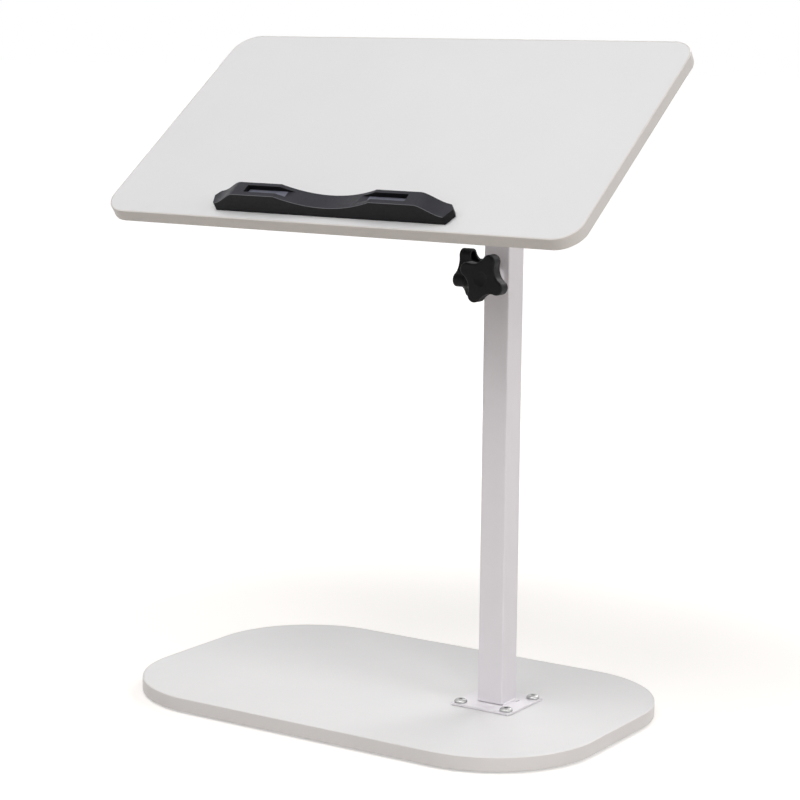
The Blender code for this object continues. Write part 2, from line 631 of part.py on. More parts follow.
def make_pivot_bolt(pivot):
    """Hexagon-head bolt through the fork, with a washer and a small star knob on its right end."""
    washer_low = FORK_OUTSIDE + TOUCH_GAP
    washer_top = washer_low + TILT_WASHER_THICKNESS
    knob_low = washer_top + TOUCH_GAP
    axis = frame_at("tilt_knob_axis", outward_frame(0, 0, 0, RIGHT), pivot)
    part("tilt_washer", ring(BOLT_HOLE_RADIUS, TILT_WASHER_RADIUS, washer_low, washer_top), zinc, axis)
    bolt_end = star_knob("tilt_knob", axis, knob_low, knob_low + TILT_KNOB_STANDOFF, TILT_KNOB_TURN,
                         TILT_KNOB_SHARE)

    head_high = -FORK_OUTSIDE - TOUCH_GAP
    head = prism([circle(PIVOT_HEAD_RADIUS, HEXAGON)], head_high - PIVOT_HEAD_THICKNESS, head_high)
    bolt = part("pivot_bolt", laid(head, ALONG_X), zinc, pivot)
    shank = rod(PIVOT_BOLT_RADIUS, head_high - PIVOT_HEAD_THICKNESS / 2, bolt_end, SCREW_STEPS)
    join(bolt, laid(shank, ALONG_X), "bolt_shank")


def wood_screw(grip, bite):
    """A pan-head screw pointing up: its head hangs below z = 0, its thread bites past the grip."""
    tip = grip + bite
    profile = [(0, tip), (WOOD_SCREW_RADIUS, tip - WOOD_SCREW_RADIUS), (WOOD_SCREW_RADIUS, 0),
               (WOOD_SCREW_HEAD_RADIUS, 0), (WOOD_SCREW_HEAD_RADIUS, -WOOD_SCREW_HEAD_HEIGHT / 2),
               (WOOD_SCREW_FACE_RADIUS, -WOOD_SCREW_HEAD_HEIGHT), (0, -WOOD_SCREW_HEAD_HEIGHT)]
    return turned(profile, SCREW_STEPS)


def make_bracket(top, screw_places):
    """The bracket under the top; the frame's origin is on the pivot axis, +Z square to the top."""
    plate = rounded_rectangle(BRACKET_WIDTH, BRACKET_DEPTH, BRACKET_CORNER_RADIUS, SMALL_CORNER_STEPS)
    loops = [plate] + [circle(WOOD_SCREW_HOLE_RADIUS, SCREW_STEPS, place) for place in screw_places]
    bracket = part("tilt_bracket", prism(loops, BRACKET_UNDERSIDE, BRACKET_TOP), white_paint, top)
    outline = ear_outline(BRACKET_EAR_RADIUS, BRACKET_EAR_ROOT, BRACKET_TOP - BRACKET_THICKNESS / 3)
    ear_inside = BRACKET_EAR_OUTSIDE - BRACKET_EAR_THICKNESS
    for side, name in ((-1, "left"), (1, "right")):
        near, far = sorted((side * ear_inside, side * BRACKET_EAR_OUTSIDE))
        join(bracket, laid(prism([outline], near, far), ALONG_X), f"bracket_ear_{name}")
    reach = BRACKET_EAR_OUTSIDE + CUT_OVERRUN
    cut(bracket, laid(rod(BOLT_HOLE_RADIUS, -reach, reach, SCREW_STEPS), ALONG_X), "bracket_bolt_hole")

    half = ear_inside - TOUCH_GAP
    spacer = laid(ring(BOLT_HOLE_RADIUS, SPACER_RADIUS, -half, half), ALONG_X)
    part("spacer_sleeve", spacer, zinc, top)

    screw = wood_screw(BRACKET_THICKNESS + 2 * TOUCH_GAP, BRACKET_SCREW_BITE)
    for number, (x, y) in enumerate(screw_places, start=1):
        part(f"bracket_screw_{number}", screw, zinc, top, (x, y, BRACKET_UNDERSIDE - TOUCH_GAP))


def ledge_side_view():
    """The ledge seen from the front: hollow middle, two raised parts, ends that slope down."""
    half = LEDGE_LENGTH / 2 + CUT_OVERRUN
    right = []
    for i in range(CURVE_STEPS + 1):
        along = i / CURVE_STEPS
        rise = (LEDGE_HEIGHT - LEDGE_VALLEY_HEIGHT) * along ** 2
        right.append((LEDGE_VALLEY_HALF * along, LEDGE_VALLEY_HEIGHT + rise))
    for i in range(CURVE_STEPS + 1):
        along = i / CURVE_STEPS
        fall = (LEDGE_HEIGHT - LEDGE_LIP_HEIGHT) * (1 - math.cos(math.pi * along)) / 2
        right.append((LEDGE_RAISED_END + LEDGE_SLOPE_LENGTH * along, LEDGE_HEIGHT - fall))
    right += [(half, LEDGE_LIP_HEIGHT), (half, -CUT_OVERRUN)]
    left = [(-x, z) for x, z in reversed(right[1:])]
    return left + right


def ledge_plan():
    """The ledge seen from above: each end comes to a blunt point."""
    half = LEDGE_LENGTH / 2
    front = -LEDGE_DEPTH / 2
    right = [(half - LEDGE_FRONT_CORNER_CUT, front), (half, front + LEDGE_TIP_FROM_FRONT),
             (half - LEDGE_BACK_CORNER_CUT, front + LEDGE_DEPTH)]
    left = [(-x, y) for x, y in reversed(right)]
    return right + left


def is_sharp(edge):
    return edge.calc_face_angle(0) > SMOOTH_EDGE


def make_ledge(board_frame, screw_places):
    """The stop ledge near the lower edge of the top, with a pen pocket in each raised part."""
    holder = frame_at("ledge_frame", Matrix.Translation(LEDGE_MIDDLE), board_frame)
    reach = LEDGE_DEPTH / 2 + CUT_OVERRUN
    blank = bpy.data.objects.new("blank", laid(prism([ledge_side_view()], -reach, reach), ALONG_Y))
    plan = prism([ledge_plan()], -CUT_OVERRUN, LEDGE_HEIGHT + CUT_OVERRUN)
    combine(blank, plan, "INTERSECT", "ledge_plan")
    body = rounded(finished_mesh(blank), LEDGE_ROUNDING, is_sharp)
    ledge = part("ledge", body, black_plastic, holder)
    below = rounded_rectangle(LEDGE_LENGTH + 2 * CUT_OVERRUN, 2 * reach, CUT_OVERRUN, SMALL_CORNER_STEPS)
    cut(ledge, prism([below], -2 * CUT_OVERRUN, 0), "ledge_underside")

    pocket_x = (POCKET_INNER_END + POCKET_OUTER_END) / 2
    pocket_y = POCKET_FROM_FRONT + POCKET_WIDTH / 2 - LEDGE_DEPTH / 2
    outline = rounded_rectangle(POCKET_OUTER_END - POCKET_INNER_END, POCKET_WIDTH, POCKET_CORNER_RADIUS,
                                SMALL_CORNER_STEPS)
    pocket = prism([outline], LEDGE_HEIGHT - POCKET_DEPTH, LEDGE_HEIGHT + CUT_OVERRUN)
    cut(ledge, repeated(pocket, [(side * pocket_x, pocket_y, 0) for side in (-1, 1)]), "pen_pockets")
    hole = rod(WOOD_SCREW_HOLE_RADIUS, -CUT_OVERRUN, LEDGE_SCREW_BITE + TOUCH_GAP, SCREW_STEPS)
    cut(ledge, repeated(hole, [(x, y, 0) for x, y in screw_places]), "ledge_screw_holes")

    grip = TOP_THICKNESS + 2 * TOUCH_GAP
    screw = wood_screw(grip, LEDGE_SCREW_BITE)
    for number, (x, y) in enumerate(screw_places, start=1):
        part(f"ledge_screw_{number}", screw, zinc, holder, (x, y, -grip))


def make_top(top):
    """The tilting board with its band, the bracket under it and the ledge on it."""
    sizes = (TOP_WIDTH, TOP_DEPTH, TOP_CORNER_RADIUS, TOP_THICKNESS, TOP_CORNER_STEPS)
    holder = frame_at("top_board_frame", Matrix.Translation(TOP_MIDDLE), top)
    board = part("top_board", board_core(*sizes), white_board, holder)
    part("top_edge_band", edge_band(*sizes), white_edge, holder)

    bracket_places = four_places(BRACKET_WIDTH - 2 * BRACKET_SCREW_INSET,
                                 BRACKET_DEPTH - 2 * BRACKET_SCREW_INSET)
    blind = rod(WOOD_SCREW_HOLE_RADIUS, -CUT_OVERRUN, BRACKET_SCREW_BITE + TOUCH_GAP, SCREW_STEPS)
    under = [(x - TOP_MIDDLE.x, y - TOP_MIDDLE.y, 0) for x, y in bracket_places]
    cut(board, repeated(blind, under), "bracket_screw_holes")
    screw_x = LEDGE_RAISED_END - POCKET_END_WALL / 2
    ledge_places = [(side * screw_x, 0) for side in (-1, 1)]
    through = rod(WOOD_SCREW_HOLE_RADIUS, -CUT_OVERRUN, TOP_THICKNESS + CUT_OVERRUN, SCREW_STEPS)
    across = [(x + LEDGE_MIDDLE.x, y + LEDGE_MIDDLE.y, 0) for x, y in ledge_places]
    cut(board, repeated(through, across), "through_holes")

    make_bracket(top, bracket_places)
    make_ledge(holder, ledge_places)


base_frame = frame_at("base", Matrix.Identity(4))
column_frame = frame_at("column", Matrix.Translation((COLUMN_X, COLUMN_Y, 0)), base_frame)
mast_frame = frame_at("height_slide_axis", Matrix.Translation((0, 0, MAST_TOP_Z)), column_frame)
pivot_frame = frame_at("pivot", Matrix.Translation((0, 0, PIVOT_Z - MAST_TOP_Z)), mast_frame)
top_frame = frame_at("top_tilt_axis", Matrix.Rotation(TOP_TILT, 4, "X"), pivot_frame)

make_base(base_frame)
make_flange(column_frame)
outer_tube = make_outer_tube(column_frame)
make_clamp("front", outer_tube, column_frame, FORWARD, FRONT_KNOB_TURN)
make_clamp("side", outer_tube, column_frame, LEFT, SIDE_KNOB_TURN)
make_mast(mast_frame)
make_fork(pivot_frame)
make_pivot_bolt(pivot_frame)
make_top(top_frame)
bpy.context.view_layer.update()
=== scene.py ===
"""A white side table with a tilting top on one telescopic column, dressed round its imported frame.

Units are metres, +Z is up, +X runs along the long side of the boards and +Y away from the user.
"""

import json
import math

import bmesh
import bpy
from mathutils import Matrix, Vector


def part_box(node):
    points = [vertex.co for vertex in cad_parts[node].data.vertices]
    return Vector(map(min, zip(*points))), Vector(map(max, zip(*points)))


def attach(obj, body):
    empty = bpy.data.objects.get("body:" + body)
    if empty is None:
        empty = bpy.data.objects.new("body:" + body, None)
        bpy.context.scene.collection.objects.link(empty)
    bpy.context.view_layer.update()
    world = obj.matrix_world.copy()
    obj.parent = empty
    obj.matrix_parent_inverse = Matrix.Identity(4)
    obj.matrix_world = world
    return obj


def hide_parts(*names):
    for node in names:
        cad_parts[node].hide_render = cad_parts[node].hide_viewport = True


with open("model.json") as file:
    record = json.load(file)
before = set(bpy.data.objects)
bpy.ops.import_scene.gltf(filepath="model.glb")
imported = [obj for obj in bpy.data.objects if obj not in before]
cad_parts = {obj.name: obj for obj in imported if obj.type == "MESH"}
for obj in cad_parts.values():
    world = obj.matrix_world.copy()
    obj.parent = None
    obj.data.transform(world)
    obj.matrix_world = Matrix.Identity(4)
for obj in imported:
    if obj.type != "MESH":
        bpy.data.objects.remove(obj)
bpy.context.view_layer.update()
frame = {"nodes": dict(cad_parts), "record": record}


# Base board: 15 mm chipboard faced with white melamine on both sides and cut to an oblong with
# big round corners. Four blind holes, right of its middle, take the inserts for the flange.
NEAR = 0.00002                # points closer than this count as being in one place
SMOOTH_BELOW = math.radians(35)
NOISE_RANGE = (0.3, 0.7)      # where nearly all of a noise lies
BASE_CORNER = 0.120
BAND_THICKNESS = 0.0015
BAND_SEAM = 0.0001            # hairline between the melamine and the edge band
BASE_CORNER_STEPS = 56
BOARD_ARRIS = 0.00015
HOLE_STEPS = 48
OVERRUN = 0.002               # how far a cutting tool passes the face that it opens


def only(piece):
    """Makes this the one selected piece."""
    if bpy.context.mode != "OBJECT":
        bpy.ops.object.mode_set(mode="OBJECT")
    bpy.ops.object.select_all(action="DESELECT")
    piece.select_set(True)
    bpy.context.view_layer.objects.active = piece


def settled(name):
    """Names the piece just added and writes its place, turn and size into its mesh."""
    piece = bpy.context.object
    piece.name = name
    only(piece)
    bpy.ops.object.transform_apply(location=True, rotation=True, scale=True)
    return piece


def block(name, low, high):
    """A solid block from one corner to the opposite one."""
    low, high = Vector(low), Vector(high)
    bpy.ops.object.select_all(action="DESELECT")
    bpy.ops.mesh.primitive_cube_add(size=1, location=(low + high) / 2, scale=high - low)
    return settled(name)


def rod(name, radius, low, high, steps=HOLE_STEPS, centre=(0, 0)):
    """A solid round bar along Z."""
    bpy.ops.object.select_all(action="DESELECT")
    bpy.ops.mesh.primitive_cylinder_add(vertices=steps, radius=radius, depth=high - low,
                                        location=(*centre, (low + high) / 2))
    return settled(name)


def pick(piece, mode, wanted):
    """Opens a piece for editing, with only the wanted points, edges or faces selected."""
    only(piece)
    bpy.ops.object.mode_set(mode="EDIT")
    bpy.ops.mesh.select_mode(type=mode)
    bpy.ops.mesh.select_all(action="DESELECT")
    shape = bmesh.from_edit_mesh(piece.data)
    shape.normal_update()
    for choice in {"VERT": shape.verts, "EDGE": shape.edges, "FACE": shape.faces}[mode]:
        if wanted(choice):
            choice.select_set(True)
    shape.select_flush_mode()
    bmesh.update_edit_mesh(piece.data)


def stop_editing():
    bpy.ops.object.mode_set(mode="OBJECT")


def is_upright(edge):
    """True for an edge that runs along Z."""
    first, last = (vert.co for vert in edge.verts)
    return (first.xy - last.xy).length < NEAR < abs(first.z - last.z)


def at_height(*heights):
    """A test for edges or faces that lie flat at one of the heights."""
    return lambda flat: any(all(abs(vert.co.z - height) < NEAR for vert in flat.verts)
                            for height in heights)


def round_edges(piece, wanted, radius, steps):
    """Rounds the wanted edges of a piece, or chamfers them if there is one step."""
    pick(piece, "EDGE", wanted)
    bpy.ops.mesh.bevel(offset=radius, segments=steps, affect="EDGES")
    stop_editing()


def apply_modifier(piece, modifier):
    only(piece)
    bpy.ops.object.modifier_apply(modifier=modifier.name)


def throw_away(piece):
    bpy.data.objects.remove(piece, do_unlink=True)


def cut(piece, tool, operation="DIFFERENCE"):
    """Cuts a piece with a tool, or joins the tool to it, and throws the tool away."""
    boolean = piece.modifiers.new("cut", "BOOLEAN")
    boolean.operation = operation
    boolean.solver = "EXACT"
    boolean.object = tool
    apply_modifier(piece, boolean)
    throw_away(tool)


def fit(piece, node, body, material):
    """Shades a finished piece, gives it its material and puts it in its node's place."""
    only(piece)
    piece.data.materials.clear()
    piece.data.materials.append(material)
    bpy.ops.object.shade_smooth_by_angle(angle=SMOOTH_BELOW)
    weighted = piece.modifiers.new("flat faces stay flat", "WEIGHTED_NORMAL")
    weighted.keep_sharp = True
    apply_modifier(piece, weighted)
    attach(piece, body)
    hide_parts(node)


class Finish:
    """A material whose pattern is laid out in the object's own metres."""

    def __init__(self, name, metallic=0.0):
        self.material = bpy.data.materials.new(name)
        self.material.use_nodes = True
        self.tree = self.material.node_tree
        self.shader = self.tree.nodes["Principled BSDF"]
        self.shader.inputs["Metallic"].default_value = metallic
        self.place = self.tree.nodes.new("ShaderNodeTexCoord").outputs["Object"]

    def noise(self, size, detail, stretch=(1, 1, 1)):
        """Soft blots of about the given size, drawn out along an axis where stretch is small."""
        mapping = self.tree.nodes.new("ShaderNodeMapping")
        mapping.inputs["Scale"].default_value = stretch
        self.tree.links.new(self.place, mapping.inputs["Vector"])
        texture = self.tree.nodes.new("ShaderNodeTexNoise")
        texture.inputs["Scale"].default_value = 1 / size
        texture.inputs["Detail"].default_value = detail
        self.tree.links.new(mapping.outputs["Vector"], texture.inputs["Vector"])
        return texture.outputs["Fac"]

    def spread(self, noise, low, high):
        """The usual range of a noise made to run from low to high."""
        node = self.tree.nodes.new("ShaderNodeMapRange")
        for name, value in zip(("From Min", "From Max", "To Min", "To Max"),
                               (*NOISE_RANGE, low, high)):
            node.inputs[name].default_value = value
        self.tree.links.new(noise, node.inputs["Value"])
        return node.outputs["Result"]

    def colour(self, size, first, second, detail=2):
        """Blots of one colour in another."""
        noise = self.noise(size, detail)
        mix = self.tree.nodes.new("ShaderNodeMix")
        mix.data_type = "RGBA"
        mix.inputs["A"].default_value = (*first, 1)
        mix.inputs["B"].default_value = (*second, 1)
        self.tree.links.new(self.spread(noise, 0, 1), mix.inputs["Factor"])
        self.tree.links.new(mix.outputs["Result"], self.shader.inputs["Base Color"])

    def roughness(self, size, low, high, detail=2):
        """Blots that are rougher or smoother than the rest."""
        rough = self.spread(self.noise(size, detail), low, high)
        self.tree.links.new(rough, self.shader.inputs["Roughness"])

    def relief(self, size, height, detail=2, stretch=(1, 1, 1)):
        """A fine grain of that height, which only bends the shading."""
        noise = self.noise(size, detail, stretch)
        bump = self.tree.nodes.new("ShaderNodeBump")
        bump.inputs["Strength"].default_value = 1.0
        bump.inputs["Distance"].default_value = height
        self.tree.links.new(noise, bump.inputs["Height"])
        self.tree.links.new(bump.outputs["Normal"], self.shader.inputs["Normal"])


def melamine(name, blot, first, second):
    """White laminate: faintly cloudy, satin and very finely grained."""
    finish = Finish(name)
    finish.colour(blot, first, second)
    finish.roughness(0.02, 0.36, 0.45, detail=4)
    finish.relief(0.0007, 0.00003, detail=3)
    return finish.material


base_melamine = melamine("white_melamine", 0.11, (0.800, 0.790, 0.786), (0.784, 0.775, 0.774))

low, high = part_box("base_edge_band")
inset = Vector((BAND_THICKNESS + BAND_SEAM, BAND_THICKNESS + BAND_SEAM, 0))
base_board = block("melamine_base", low + inset, high - inset)
round_edges(base_board, is_upright, BASE_CORNER - inset.x, BASE_CORNER_STEPS)
round_edges(base_board, at_height(low.z, high.z), BOARD_ARRIS, steps=1)
for number in range(1, 5):
    hole_low, hole_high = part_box(f"base_insert_nut_{number}")
    middle = (hole_low + hole_high) / 2
    cut(base_board, rod("insert_hole", (hole_high.x - hole_low.x) / 2 + BAND_SEAM,
                        hole_low.z - BAND_SEAM, hole_high.z + OVERRUN, centre=middle.xy))
fit(base_board, "base_board", "stand", base_melamine)


# Edge band of the base: a 1.5 mm white plastic strip glued round the board's cut edge and
# trimmed flush, with its two arrises rounded over. It is a shade warmer than the melamine.
BAND_ROUNDING = 0.0010
BAND_ROUNDING_STEPS = 4
FACING = 0.5                  # a face looks a way if its normal goes further that way than this


def edge_band(name, low, high, corner):
    """A strip round a board: a block with round corners, emptied, walled and rounded."""
    middle = (low + high) / 2
    band = block(name, low, high)
    round_edges(band, is_upright, corner, BASE_CORNER_STEPS)
    pick(band, "FACE", at_height(low.z, high.z))
    bpy.ops.mesh.delete(type="FACE")
    stop_editing()
    wall = band.modifiers.new("wall", "SOLIDIFY")
    wall.thickness = BAND_THICKNESS
    wall.offset = -1
    wall.use_even_offset = True
    apply_modifier(band, wall)

    def on_outer_rim(edge):
        walls = [face for face in edge.link_faces if abs(face.normal.z) < FACING]
        return (at_height(low.z, high.z)(edge) and len(walls) == 1
                and walls[0].normal.dot(walls[0].calc_center_median() - middle) > 0)

    round_edges(band, on_outer_rim, BAND_ROUNDING, BAND_ROUNDING_STEPS)
    return band


def band_plastic(name, first, second):
    """White plastic strip, a little glossier and coarser than the laminate."""
    finish = Finish(name)
    finish.colour(0.06, first, second)
    finish.roughness(0.01, 0.34, 0.44, detail=4)
    finish.relief(0.0009, 0.00003, detail=3)
    return finish.material


base_plastic = band_plastic("white_band_plastic", (0.810, 0.785, 0.778), (0.790, 0.768, 0.762))

base_band = edge_band("base_band", low, high, BASE_CORNER)
fit(base_band, "base_edge_band", "stand", base_plastic)


# Four feet: rubber discs, 28 mm across and 2 mm thick, stuck under the base near its corners.
# Each has a rounded lower rim and a shallow ring pressed into its sole.
FOOT_ROUNDING = 0.0006
FOOT_RING_WIDTH = 0.0025
FOOT_RING_DEPTH = 0.0003
FOOT_STEPS = 64

foot_rubber = Finish("black_rubber")
foot_rubber.colour(0.004, (0.030, 0.030, 0.031), (0.042, 0.041, 0.040), detail=3)
foot_rubber.roughness(0.003, 0.70, 0.88, detail=3)
foot_rubber.relief(0.0004, 0.00006, detail=3)


def copied(piece, name, shift):
    """Another of the same piece, with a mesh of its own, shifted to its place."""
    only(piece)
    bpy.ops.object.duplicate()
    bpy.context.object.location = shift
    return settled(name)


low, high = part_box("foot_pad_1")
foot = rod("foot_pattern", (high.x - low.x) / 2, low.z, high.z, FOOT_STEPS)
round_edges(foot, at_height(low.z), FOOT_ROUNDING, steps=3)
pick(foot, "FACE", at_height(low.z))
bpy.ops.mesh.inset(thickness=FOOT_RING_WIDTH)
bpy.ops.mesh.inset(thickness=FOOT_RING_DEPTH, depth=-FOOT_RING_DEPTH)
bpy.ops.mesh.inset(thickness=FOOT_RING_WIDTH / 2)
bpy.ops.mesh.inset(thickness=FOOT_RING_DEPTH, depth=FOOT_RING_DEPTH)
stop_editing()
for number in range(1, 5):
    foot_low, foot_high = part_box(f"foot_pad_{number}")
    middle = (foot_low + foot_high) / 2
    pad = copied(foot, f"rubber_foot_{number}", (middle.x, middle.y, 0))
    fit(pad, f"foot_pad_{number}", "stand", foot_rubber.material)
throw_away(foot)


# Four threaded inserts: turned brass, pressed into the blind holes of the base board. The
# flange covers them, so the solids stay and take a turned brass finish.
turned_brass = Finish("turned_brass", metallic=1.0)
turned_brass.colour(0.003, (0.72, 0.55, 0.28), (0.64, 0.47, 0.22), detail=3)
turned_brass.roughness(0.001, 0.25, 0.42)
turned_brass.relief(0.0002, 0.00002, detail=1, stretch=(0.02, 0.02, 1))
for number in range(1, 5):
    frame["nodes"][f"base_insert_nut_{number}"].material_slots[0].material = turned_brass.material


# Flange: a 72 mm square of 2.5 mm steel with four screw holes and a short slot on each side of
# the tube, powder-coated together with the column. The coat rounds its edges.
FLANGE_CORNER = 0.003
FLANGE_ARRIS = 0.0005
FLANGE_HOLE_RADIUS = 0.0033
SLOT_LENGTH = 0.0085
SLOT_WIDTH = 0.002
SLOT_ROUNDING = SLOT_WIDTH / 3
SLOT_TO_TUBE = 0.004
SLOT_SET_BACK = 0.009         # its middle behind the tube's middle
CORNER_STEPS = 8

powder_coat = Finish("white_powder_coat")
powder_coat.colour(0.05, (0.840, 0.810, 0.842), (0.825, 0.796, 0.828))
powder_coat.roughness(0.006, 0.30, 0.40, detail=3)
powder_coat.relief(0.0016, 0.00006)

flange_low, flange_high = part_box("flange_plate")
tube_low, tube_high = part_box("outer_tube")
column = (tube_low + tube_high) / 2
flange = block("flange", flange_low, flange_high)
round_edges(flange, is_upright, FLANGE_CORNER, CORNER_STEPS)
round_edges(flange, at_height(flange_low.z, flange_high.z), FLANGE_ARRIS, steps=3)
for number in range(1, 5):
    nut_low, nut_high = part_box(f"base_insert_nut_{number}")
    cut(flange, rod("screw_hole", FLANGE_HOLE_RADIUS, flange_low.z - OVERRUN,
                    flange_high.z + OVERRUN, centre=((nut_low + nut_high) / 2).xy))
for side in (-1, 1):
    slot_x = column.x + side * ((tube_high.x - tube_low.x) / 2 + SLOT_TO_TUBE + SLOT_WIDTH / 2)
    reach = Vector((SLOT_WIDTH / 2, SLOT_LENGTH / 2, FLANGE_ARRIS))
    slot_y = column.y + SLOT_SET_BACK
    slot = block("slot", (slot_x - reach.x, slot_y - reach.y, flange_low.z - reach.z),
                 (slot_x + reach.x, slot_y + reach.y, flange_high.z + reach.z))
    round_edges(slot, is_upright, SLOT_ROUNDING, CORNER_STEPS)
    cut(flange, slot)
fit(flange, "flange_plate", "stand", powder_coat.material)


# Outer tube: 30 mm square steel tube with a 1.2 mm wall, powder-coated, standing on the flange
# with a thin dark gap along its front. Two holes near its mouth let the clamp pads through.
TUBE_WALL = 0.0012
TUBE_CORNER = 0.0015
CLAMP_HOLE_RADIUS = 0.0043
TUBE_ARRIS = 0.0002
QUARTER_TURN = math.pi / 2


def square_tube(name, low, high, corner, wall):
    """A square tube: a block with rounded long edges, its ends taken off, walled inwards."""
    tube = block(name, low, high)
    round_edges(tube, is_upright, corner, CORNER_STEPS)
    pick(tube, "FACE", at_height(low.z, high.z))
    bpy.ops.mesh.delete(type="FACE")
    stop_editing()
    inward = tube.modifiers.new("wall", "SOLIDIFY")
    inward.thickness = wall
    inward.offset = -1
    inward.use_even_offset = True
    apply_modifier(tube, inward)
    round_edges(tube, at_height(low.z, high.z), TUBE_ARRIS, steps=2)
    return tube


def put(piece, place, turn=(0, 0, 0)):
    """Turns and moves a piece, and writes that into its mesh."""
    piece.rotation_euler = turn
    piece.location = place
    only(piece)
    bpy.ops.object.transform_apply(location=True, rotation=True, scale=True)
    return piece


def stand_out(piece, origin, heading):
    """Makes a piece modelled along +Z stick out of an upright face, from its origin."""
    return put(piece, origin, (QUARTER_TURN, 0, heading))


boss_low, boss_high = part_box("front_boss")
clamp_height = (boss_low.z + boss_high.z) / 2
CLAMPS = {"front": (Vector((column.x, tube_low.y, clamp_height)), 0),
          "side": (Vector((tube_low.x, column.y, clamp_height)), -QUARTER_TURN)}

outer_tube = square_tube("column_tube", tube_low, tube_high, TUBE_CORNER, TUBE_WALL)
for origin, heading in CLAMPS.values():
    drill = rod("clamp_hole", CLAMP_HOLE_RADIUS, -TUBE_WALL - OVERRUN, OVERRUN)
    cut(outer_tube, stand_out(drill, origin, heading))
fit(outer_tube, "outer_tube", "stand", powder_coat.material)


# Weld beads: one on each side of the tube's foot, laid as a row of overlapping drops between
# the tube and the flange, then coated with them.
WELD_LEG = 0.0021
WELD_LENGTH = 0.024
WELD_DROPS = 15
WELD_GRAIN = 0.00022
WELD_DROP_SHAPE = (1, 0.7, 1)  # a drop is shorter along the bead than wide
WELD_DROP_TURN = 0.3           # and lies askew, as the torch was held

for side, name in ((-1, "left"), (1, "right")):
    root = Vector((column.x + side * (tube_high.x - tube_low.x) / 2, column.y, flange_high.z))
    bead = None
    for drop in range(WELD_DROPS):
        along = WELD_LENGTH * (drop / (WELD_DROPS - 1) - 0.5) * (1 - WELD_LEG / WELD_LENGTH)
        bpy.ops.object.select_all(action="DESELECT")
        bpy.ops.mesh.primitive_uv_sphere_add(segments=24, ring_count=12, radius=WELD_LEG,
                                             location=root + Vector((0, along, 0)),
                                             scale=WELD_DROP_SHAPE,
                                             rotation=(0, 0, side * WELD_DROP_TURN))
        ball = settled("drop")
        if bead is None:
            bead = ball
            continue
        bead.select_set(True)
        bpy.context.view_layer.objects.active = bead
        bpy.ops.object.join()
    fused = bead.modifiers.new("fused", "REMESH")
    fused.mode = "VOXEL"
    fused.voxel_size = WELD_GRAIN
    apply_modifier(bead, fused)
    reach = Vector((side * 2 * WELD_LEG, WELD_LENGTH, 2 * WELD_LEG))
    ends = list(zip(root - Vector((0, reach.y, 0)), root + reach))
    kept = block("corner", [min(pair) for pair in ends], [max(pair) for pair in ends])
    cut(bead, kept, "INTERSECT")
    bead.name = f"weld_bead_{name}"
    fit(bead, f"tube_weld_{name}", "stand", powder_coat.material)


# Flange screws: zinc-plated M6 button heads, 14 mm across and 3.2 mm high, with a hexagon socket.
# Each goes through the flange into its brass insert.
SCREW_RADIUS = 0.003
SCREW_LENGTH = 0.0135
SCREW_END_ROUNDING = 0.00075
HEAD_RADIUS = 0.007
HEAD_HEIGHT = 0.0032
HEAD_DOME = 0.0030
SOCKET_RADIUS = 0.0023
SOCKET_DEPTH = 0.0018
DOME_STEPS = 10

zinc_plate = Finish("zinc_plate", metallic=1.0)
zinc_plate.colour(0.002, (0.46, 0.46, 0.46), (0.34, 0.34, 0.33), detail=3)
zinc_plate.roughness(0.0012, 0.32, 0.50, detail=4)
zinc_plate.relief(0.0003, 0.00002, stretch=(1, 1, 0.2))

screw = rod("screw_pattern", HEAD_RADIUS, 0, HEAD_HEIGHT)
round_edges(screw, at_height(HEAD_HEIGHT), HEAD_DOME, DOME_STEPS)
pick(screw, "FACE", at_height(0))
bpy.ops.mesh.inset(thickness=HEAD_RADIUS - SCREW_RADIUS)
bpy.ops.mesh.extrude_region_move(TRANSFORM_OT_translate={"value": (0, 0, -SCREW_LENGTH)})
stop_editing()
round_edges(screw, at_height(-SCREW_LENGTH), SCREW_END_ROUNDING, steps=2)
cut(screw, rod("socket", SOCKET_RADIUS, HEAD_HEIGHT - SOCKET_DEPTH, HEAD_HEIGHT + OVERRUN,
                steps=6))
for number in range(1, 5):
    screw_low, screw_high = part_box(f"flange_screw_{number}")
    middle = (screw_low + screw_high) / 2
    one = copied(screw, f"button_screw_{number}", (middle.x, middle.y, screw_high.z - HEAD_HEIGHT))
    fit(one, f"flange_screw_{number}", "stand", zinc_plate.material)
throw_away(screw)


# Guide collar: a black moulded plug in the tube's mouth, with a 2 mm lip on the tube's end and a
# sleeve that keeps the sliding mast from rattling.
COLLAR_LIP = 0.002
COLLAR_ROUNDING = 0.0006
MAST_CORNER = 0.0022
MAST_FREE_PLAY = 0.0003

moulded_black = Finish("moulded_black")
moulded_black.shader.inputs["Specular IOR Level"].default_value = 0.13
moulded_black.colour(0.012, (0.0060, 0.0060, 0.0070), (0.0085, 0.0085, 0.0095), detail=3)
moulded_black.roughness(0.003, 0.42, 0.58, detail=4)
moulded_black.relief(0.00035, 0.00005)

low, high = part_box("guide_collar")
mast_low, mast_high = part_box("inner_tube")
lip_low = high.z - COLLAR_LIP
collar = block("mouth_collar", (low.x, low.y, lip_low), high)
round_edges(collar, is_upright, TUBE_CORNER, CORNER_STEPS)
round_edges(collar, at_height(high.z), COLLAR_ROUNDING, steps=3)
pick(collar, "FACE", at_height(lip_low))
bpy.ops.mesh.inset(thickness=TUBE_WALL + MAST_FREE_PLAY / 2)
bpy.ops.mesh.extrude_region_move(TRANSFORM_OT_translate={"value": (0, 0, low.z - lip_low)})
stop_editing()
play = Vector((MAST_FREE_PLAY, MAST_FREE_PLAY, 0))
mouth = block("mouth", Vector((mast_low.x, mast_low.y, low.z - OVERRUN)) - play,
              Vector((mast_high.x, mast_high.y, high.z + OVERRUN)) + play)
round_edges(mouth, is_upright, MAST_CORNER, CORNER_STEPS)
cut(collar, mouth)
